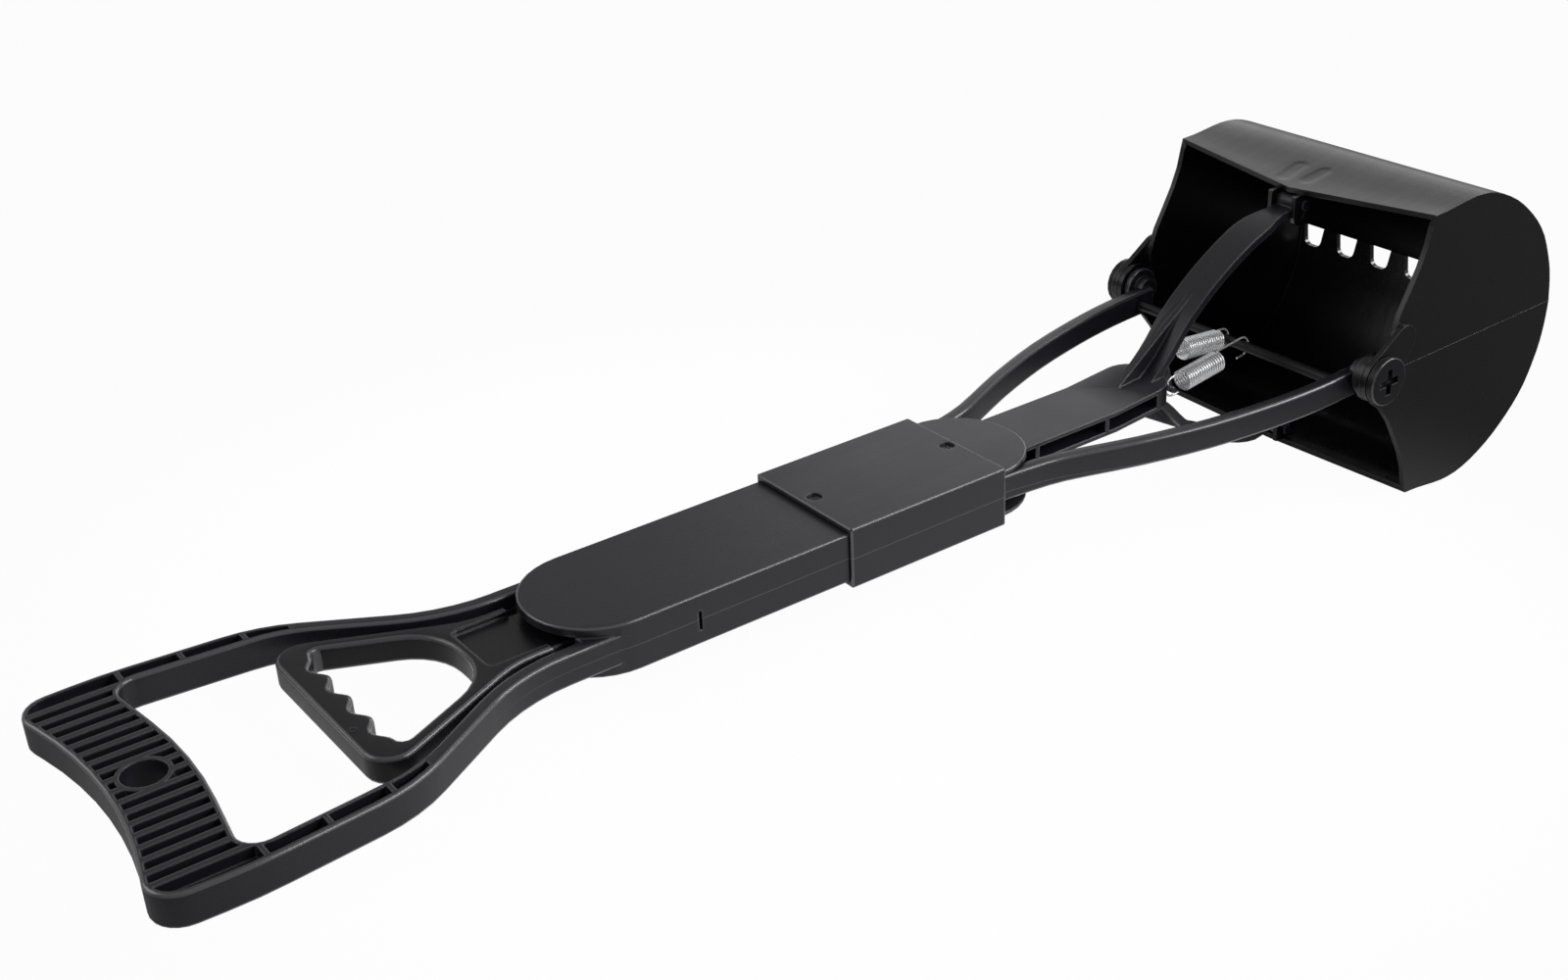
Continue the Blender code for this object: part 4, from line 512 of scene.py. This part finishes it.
def wire_tree_for(material):
    """Geometry Nodes that draw a round wire along the edges they are given."""
    tree = bpy.data.node_groups.new("drawn wire", "GeometryNodeTree")
    for name, kind in (("Route", "NodeSocketGeometry"), ("Wire radius", "NodeSocketFloat"),
                       ("Sides", "NodeSocketInt")):
        tree.interface.new_socket(name, in_out="INPUT", socket_type=kind)
    tree.interface.new_socket("Wire", in_out="OUTPUT", socket_type="NodeSocketGeometry")
    given = tree.nodes.new("NodeGroupInput")
    thread = tree.nodes.new("GeometryNodeMeshToCurve")
    section = tree.nodes.new("GeometryNodeCurvePrimitiveCircle")
    drawn = tree.nodes.new("GeometryNodeCurveToMesh")
    smooth = tree.nodes.new("GeometryNodeSetShadeSmooth")
    real = tree.nodes.new("GeometryNodeRealizeInstances")
    painted = tree.nodes.new("GeometryNodeSetMaterial")
    result = tree.nodes.new("NodeGroupOutput")
    drawn.inputs["Fill Caps"].default_value = True
    painted.inputs["Material"].default_value = material
    tree.links.new(given.outputs["Route"], thread.inputs["Mesh"])
    tree.links.new(given.outputs["Wire radius"], section.inputs["Radius"])
    tree.links.new(given.outputs["Sides"], section.inputs["Resolution"])
    tree.links.new(thread.outputs["Curve"], drawn.inputs["Curve"])
    tree.links.new(section.outputs["Curve"], drawn.inputs["Profile Curve"])
    tree.links.new(drawn.outputs["Mesh"], smooth.inputs["Geometry"])
    tree.links.new(smooth.outputs["Geometry"], real.inputs["Geometry"])
    tree.links.new(real.outputs["Geometry"], painted.inputs["Geometry"])
    tree.links.new(painted.outputs["Geometry"], result.inputs["Wire"])
    return tree


drawn_wire = wire_tree_for(spring_wire)
for node, post_rise, offset, coil_at_rear in (("spring_right", LOWER_POST_RISE, -COIL_OFFSET, True),
                                              ("spring_left", UPPER_POST_RISE, COIL_OFFSET, False)):
    route = spring_route(Vector((POST_PLACE, 0, post_rise)), offset, coil_at_rear)
    thread = bpy.data.meshes.new(node + "_route")
    thread.from_pydata(route, [(step, step + 1) for step in range(len(route) - 1)], [])
    coil = bpy.data.objects.new(node + "_wire", thread)
    bpy.context.scene.collection.objects.link(coil)
    drawing = coil.modifiers.new("draw the wire", "NODES")
    drawing.node_group = drawn_wire
    sockets = {item.name: item.identifier for item in drawn_wire.interface.items_tree}
    drawing[sockets["Wire radius"]] = WIRE_RADIUS
    drawing[sockets["Sides"]] = WIRE_SIDES
    bpy.context.view_layer.update()
    evaluated = coil.evaluated_get(bpy.context.evaluated_depsgraph_get())
    finished = bpy.data.meshes.new_from_object(evaluated)
    coil.modifiers.remove(drawing)
    coil.data = finished
    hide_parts(node)
    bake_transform(coil)

# Floor and light
# A paper floor that looks evenly white to the camera. Its colour is painted darker away from
# the tool, a painted shade, and its glow in reflections is stronger near the tool, a painted
# pool of light. A long soft light stands on the near side, a faint one behind and a square one
# on the far side.
FLOOR_HALF = 9.0
FLOOR_DROP = 0.0002
PAPER_WHITE = (0.80, 0.80, 0.80, 1.0)
# Colour of the paper far from the tool: painted shade.
PAPER_PAINTED_SHADE = (0.07, 0.07, 0.07, 1.0)
TOOL_OUTLINE_PLACE = (0.10, 0.0, 0.0)
TOOL_OUTLINE_SCALE = (3.2, 3.3, 0.0)
PAPER_FADE = (0.65, 1.25)
MIRROR_FADE = (0.35, 1.10)
SEEN_WHITE = 0.97
MIRRORED_FAR = 0.08
MIRRORED_NEAR = 0.42
floor_mesh = bpy.data.meshes.new("floor")
floor_form = bmesh.new()
bmesh.ops.create_grid(floor_form, x_segments=1, y_segments=1, size=FLOOR_HALF)
floor_form.to_mesh(floor_mesh)
floor_form.free()
floor = bpy.data.objects.new("floor", floor_mesh)
bpy.context.scene.collection.objects.link(floor)
floor.location.z = cad_low.z - FLOOR_DROP
paper = bpy.data.materials.new("white_paper")
paper.use_nodes = True
paper_tree = paper.node_tree
paper_surface = paper_tree.nodes["Principled BSDF"]
spot = Shade(paper_tree, paper_tree.nodes.new("ShaderNodeTexCoord").outputs["Object"])
from_tool = spot.node("ShaderNodeMapping", Vector=spot, Location=TOOL_OUTLINE_PLACE,
                      Scale=TOOL_OUTLINE_SCALE)
reach = from_tool.length()
# The paper's colour darkens away from the tool: painted shade.
paper_and_painted_shade = reach.limited(*PAPER_FADE).blend(PAPER_WHITE, PAPER_PAINTED_SHADE)
paper_tree.links.new(paper_and_painted_shade.socket, paper_surface.inputs["Base Color"])
paper_surface.inputs["Roughness"].default_value = 0.9
paper_surface.inputs["Specular IOR Level"].default_value = 0.1
rays = paper_tree.nodes.new("ShaderNodeLightPath")
direct = Shade(paper_tree, rays.outputs["Is Camera Ray"])
mirrored = Shade(paper_tree, rays.outputs["Is Glossy Ray"])
through = Shade(paper_tree, rays.outputs["Is Transmission Ray"])
# The paper's glow in reflections is stronger near the tool: a painted pool of light.
near = 1.0 - reach.limited(*MIRROR_FADE)
seen = SEEN_WHITE * direct + (MIRRORED_FAR + MIRRORED_NEAR * near) * mirrored + SEEN_WHITE * through
glow = direct.node("ShaderNodeEmission", Color=(1.0, 1.0, 1.0, 1.0), Strength=1.0)
lit = Shade(paper_tree, paper_surface.outputs[0])
shown = direct.node("ShaderNodeMixShader", i0=seen, i1=lit, i2=glow)
paper_tree.links.new(shown.socket, paper_tree.nodes["Material Output"].inputs["Surface"])
floor_mesh.materials.append(paper)

WORLD_LIGHT = 0.34
WORLD_MIRRORED = 0.10
world = bpy.data.worlds.new("studio")
bpy.context.scene.world = world
world.use_nodes = True
world_tree = world.node_tree
sky = world_tree.nodes["Background"]
sky.inputs["Color"].default_value = (1.0, 1.0, 1.0, 1.0)
world_rays = world_tree.nodes.new("ShaderNodeLightPath")
world_direct = Shade(world_tree, world_rays.outputs["Is Camera Ray"])
world_mirrored = Shade(world_tree, world_rays.outputs["Is Glossy Ray"])
world_through = Shade(world_tree, world_rays.outputs["Is Transmission Ray"])
world_seen = world_direct + WORLD_MIRRORED * world_mirrored + world_through
world_strength = WORLD_LIGHT + (1.0 - WORLD_LIGHT) * world_seen
world_tree.links.new(world_strength.socket, sky.inputs["Strength"])


def soft_light(name, place, target, width, height, watts):
    """A rectangular lamp at a place, turned towards a target."""
    lamp = bpy.data.lights.new(name, "AREA")
    lamp.shape = "RECTANGLE"
    lamp.size = width
    lamp.size_y = height
    lamp.energy = watts
    holder = bpy.data.objects.new(name, lamp)
    bpy.context.scene.collection.objects.link(holder)
    holder.location = place
    towards = Vector(target) - Vector(place)
    holder.rotation_euler = towards.to_track_quat("-Z", "Y").to_euler()


soft_light("near_side", place=(0.80, -0.90, 0.92), target=(0.0, 0.0, 0.05),
           width=1.5, height=0.60, watts=18.0)
soft_light("behind", place=(1.14, 0.80, 0.66), target=(0.1, 0.0, 0.1),
           width=1.2, height=0.7, watts=2.0)
soft_light("far_side", place=(-1.26, 0.88, 0.94), target=(0.25, 0.0, 0.03),
           width=1.2, height=1.2, watts=6.0)
bpy.context.scene.view_settings.view_transform = "Standard"
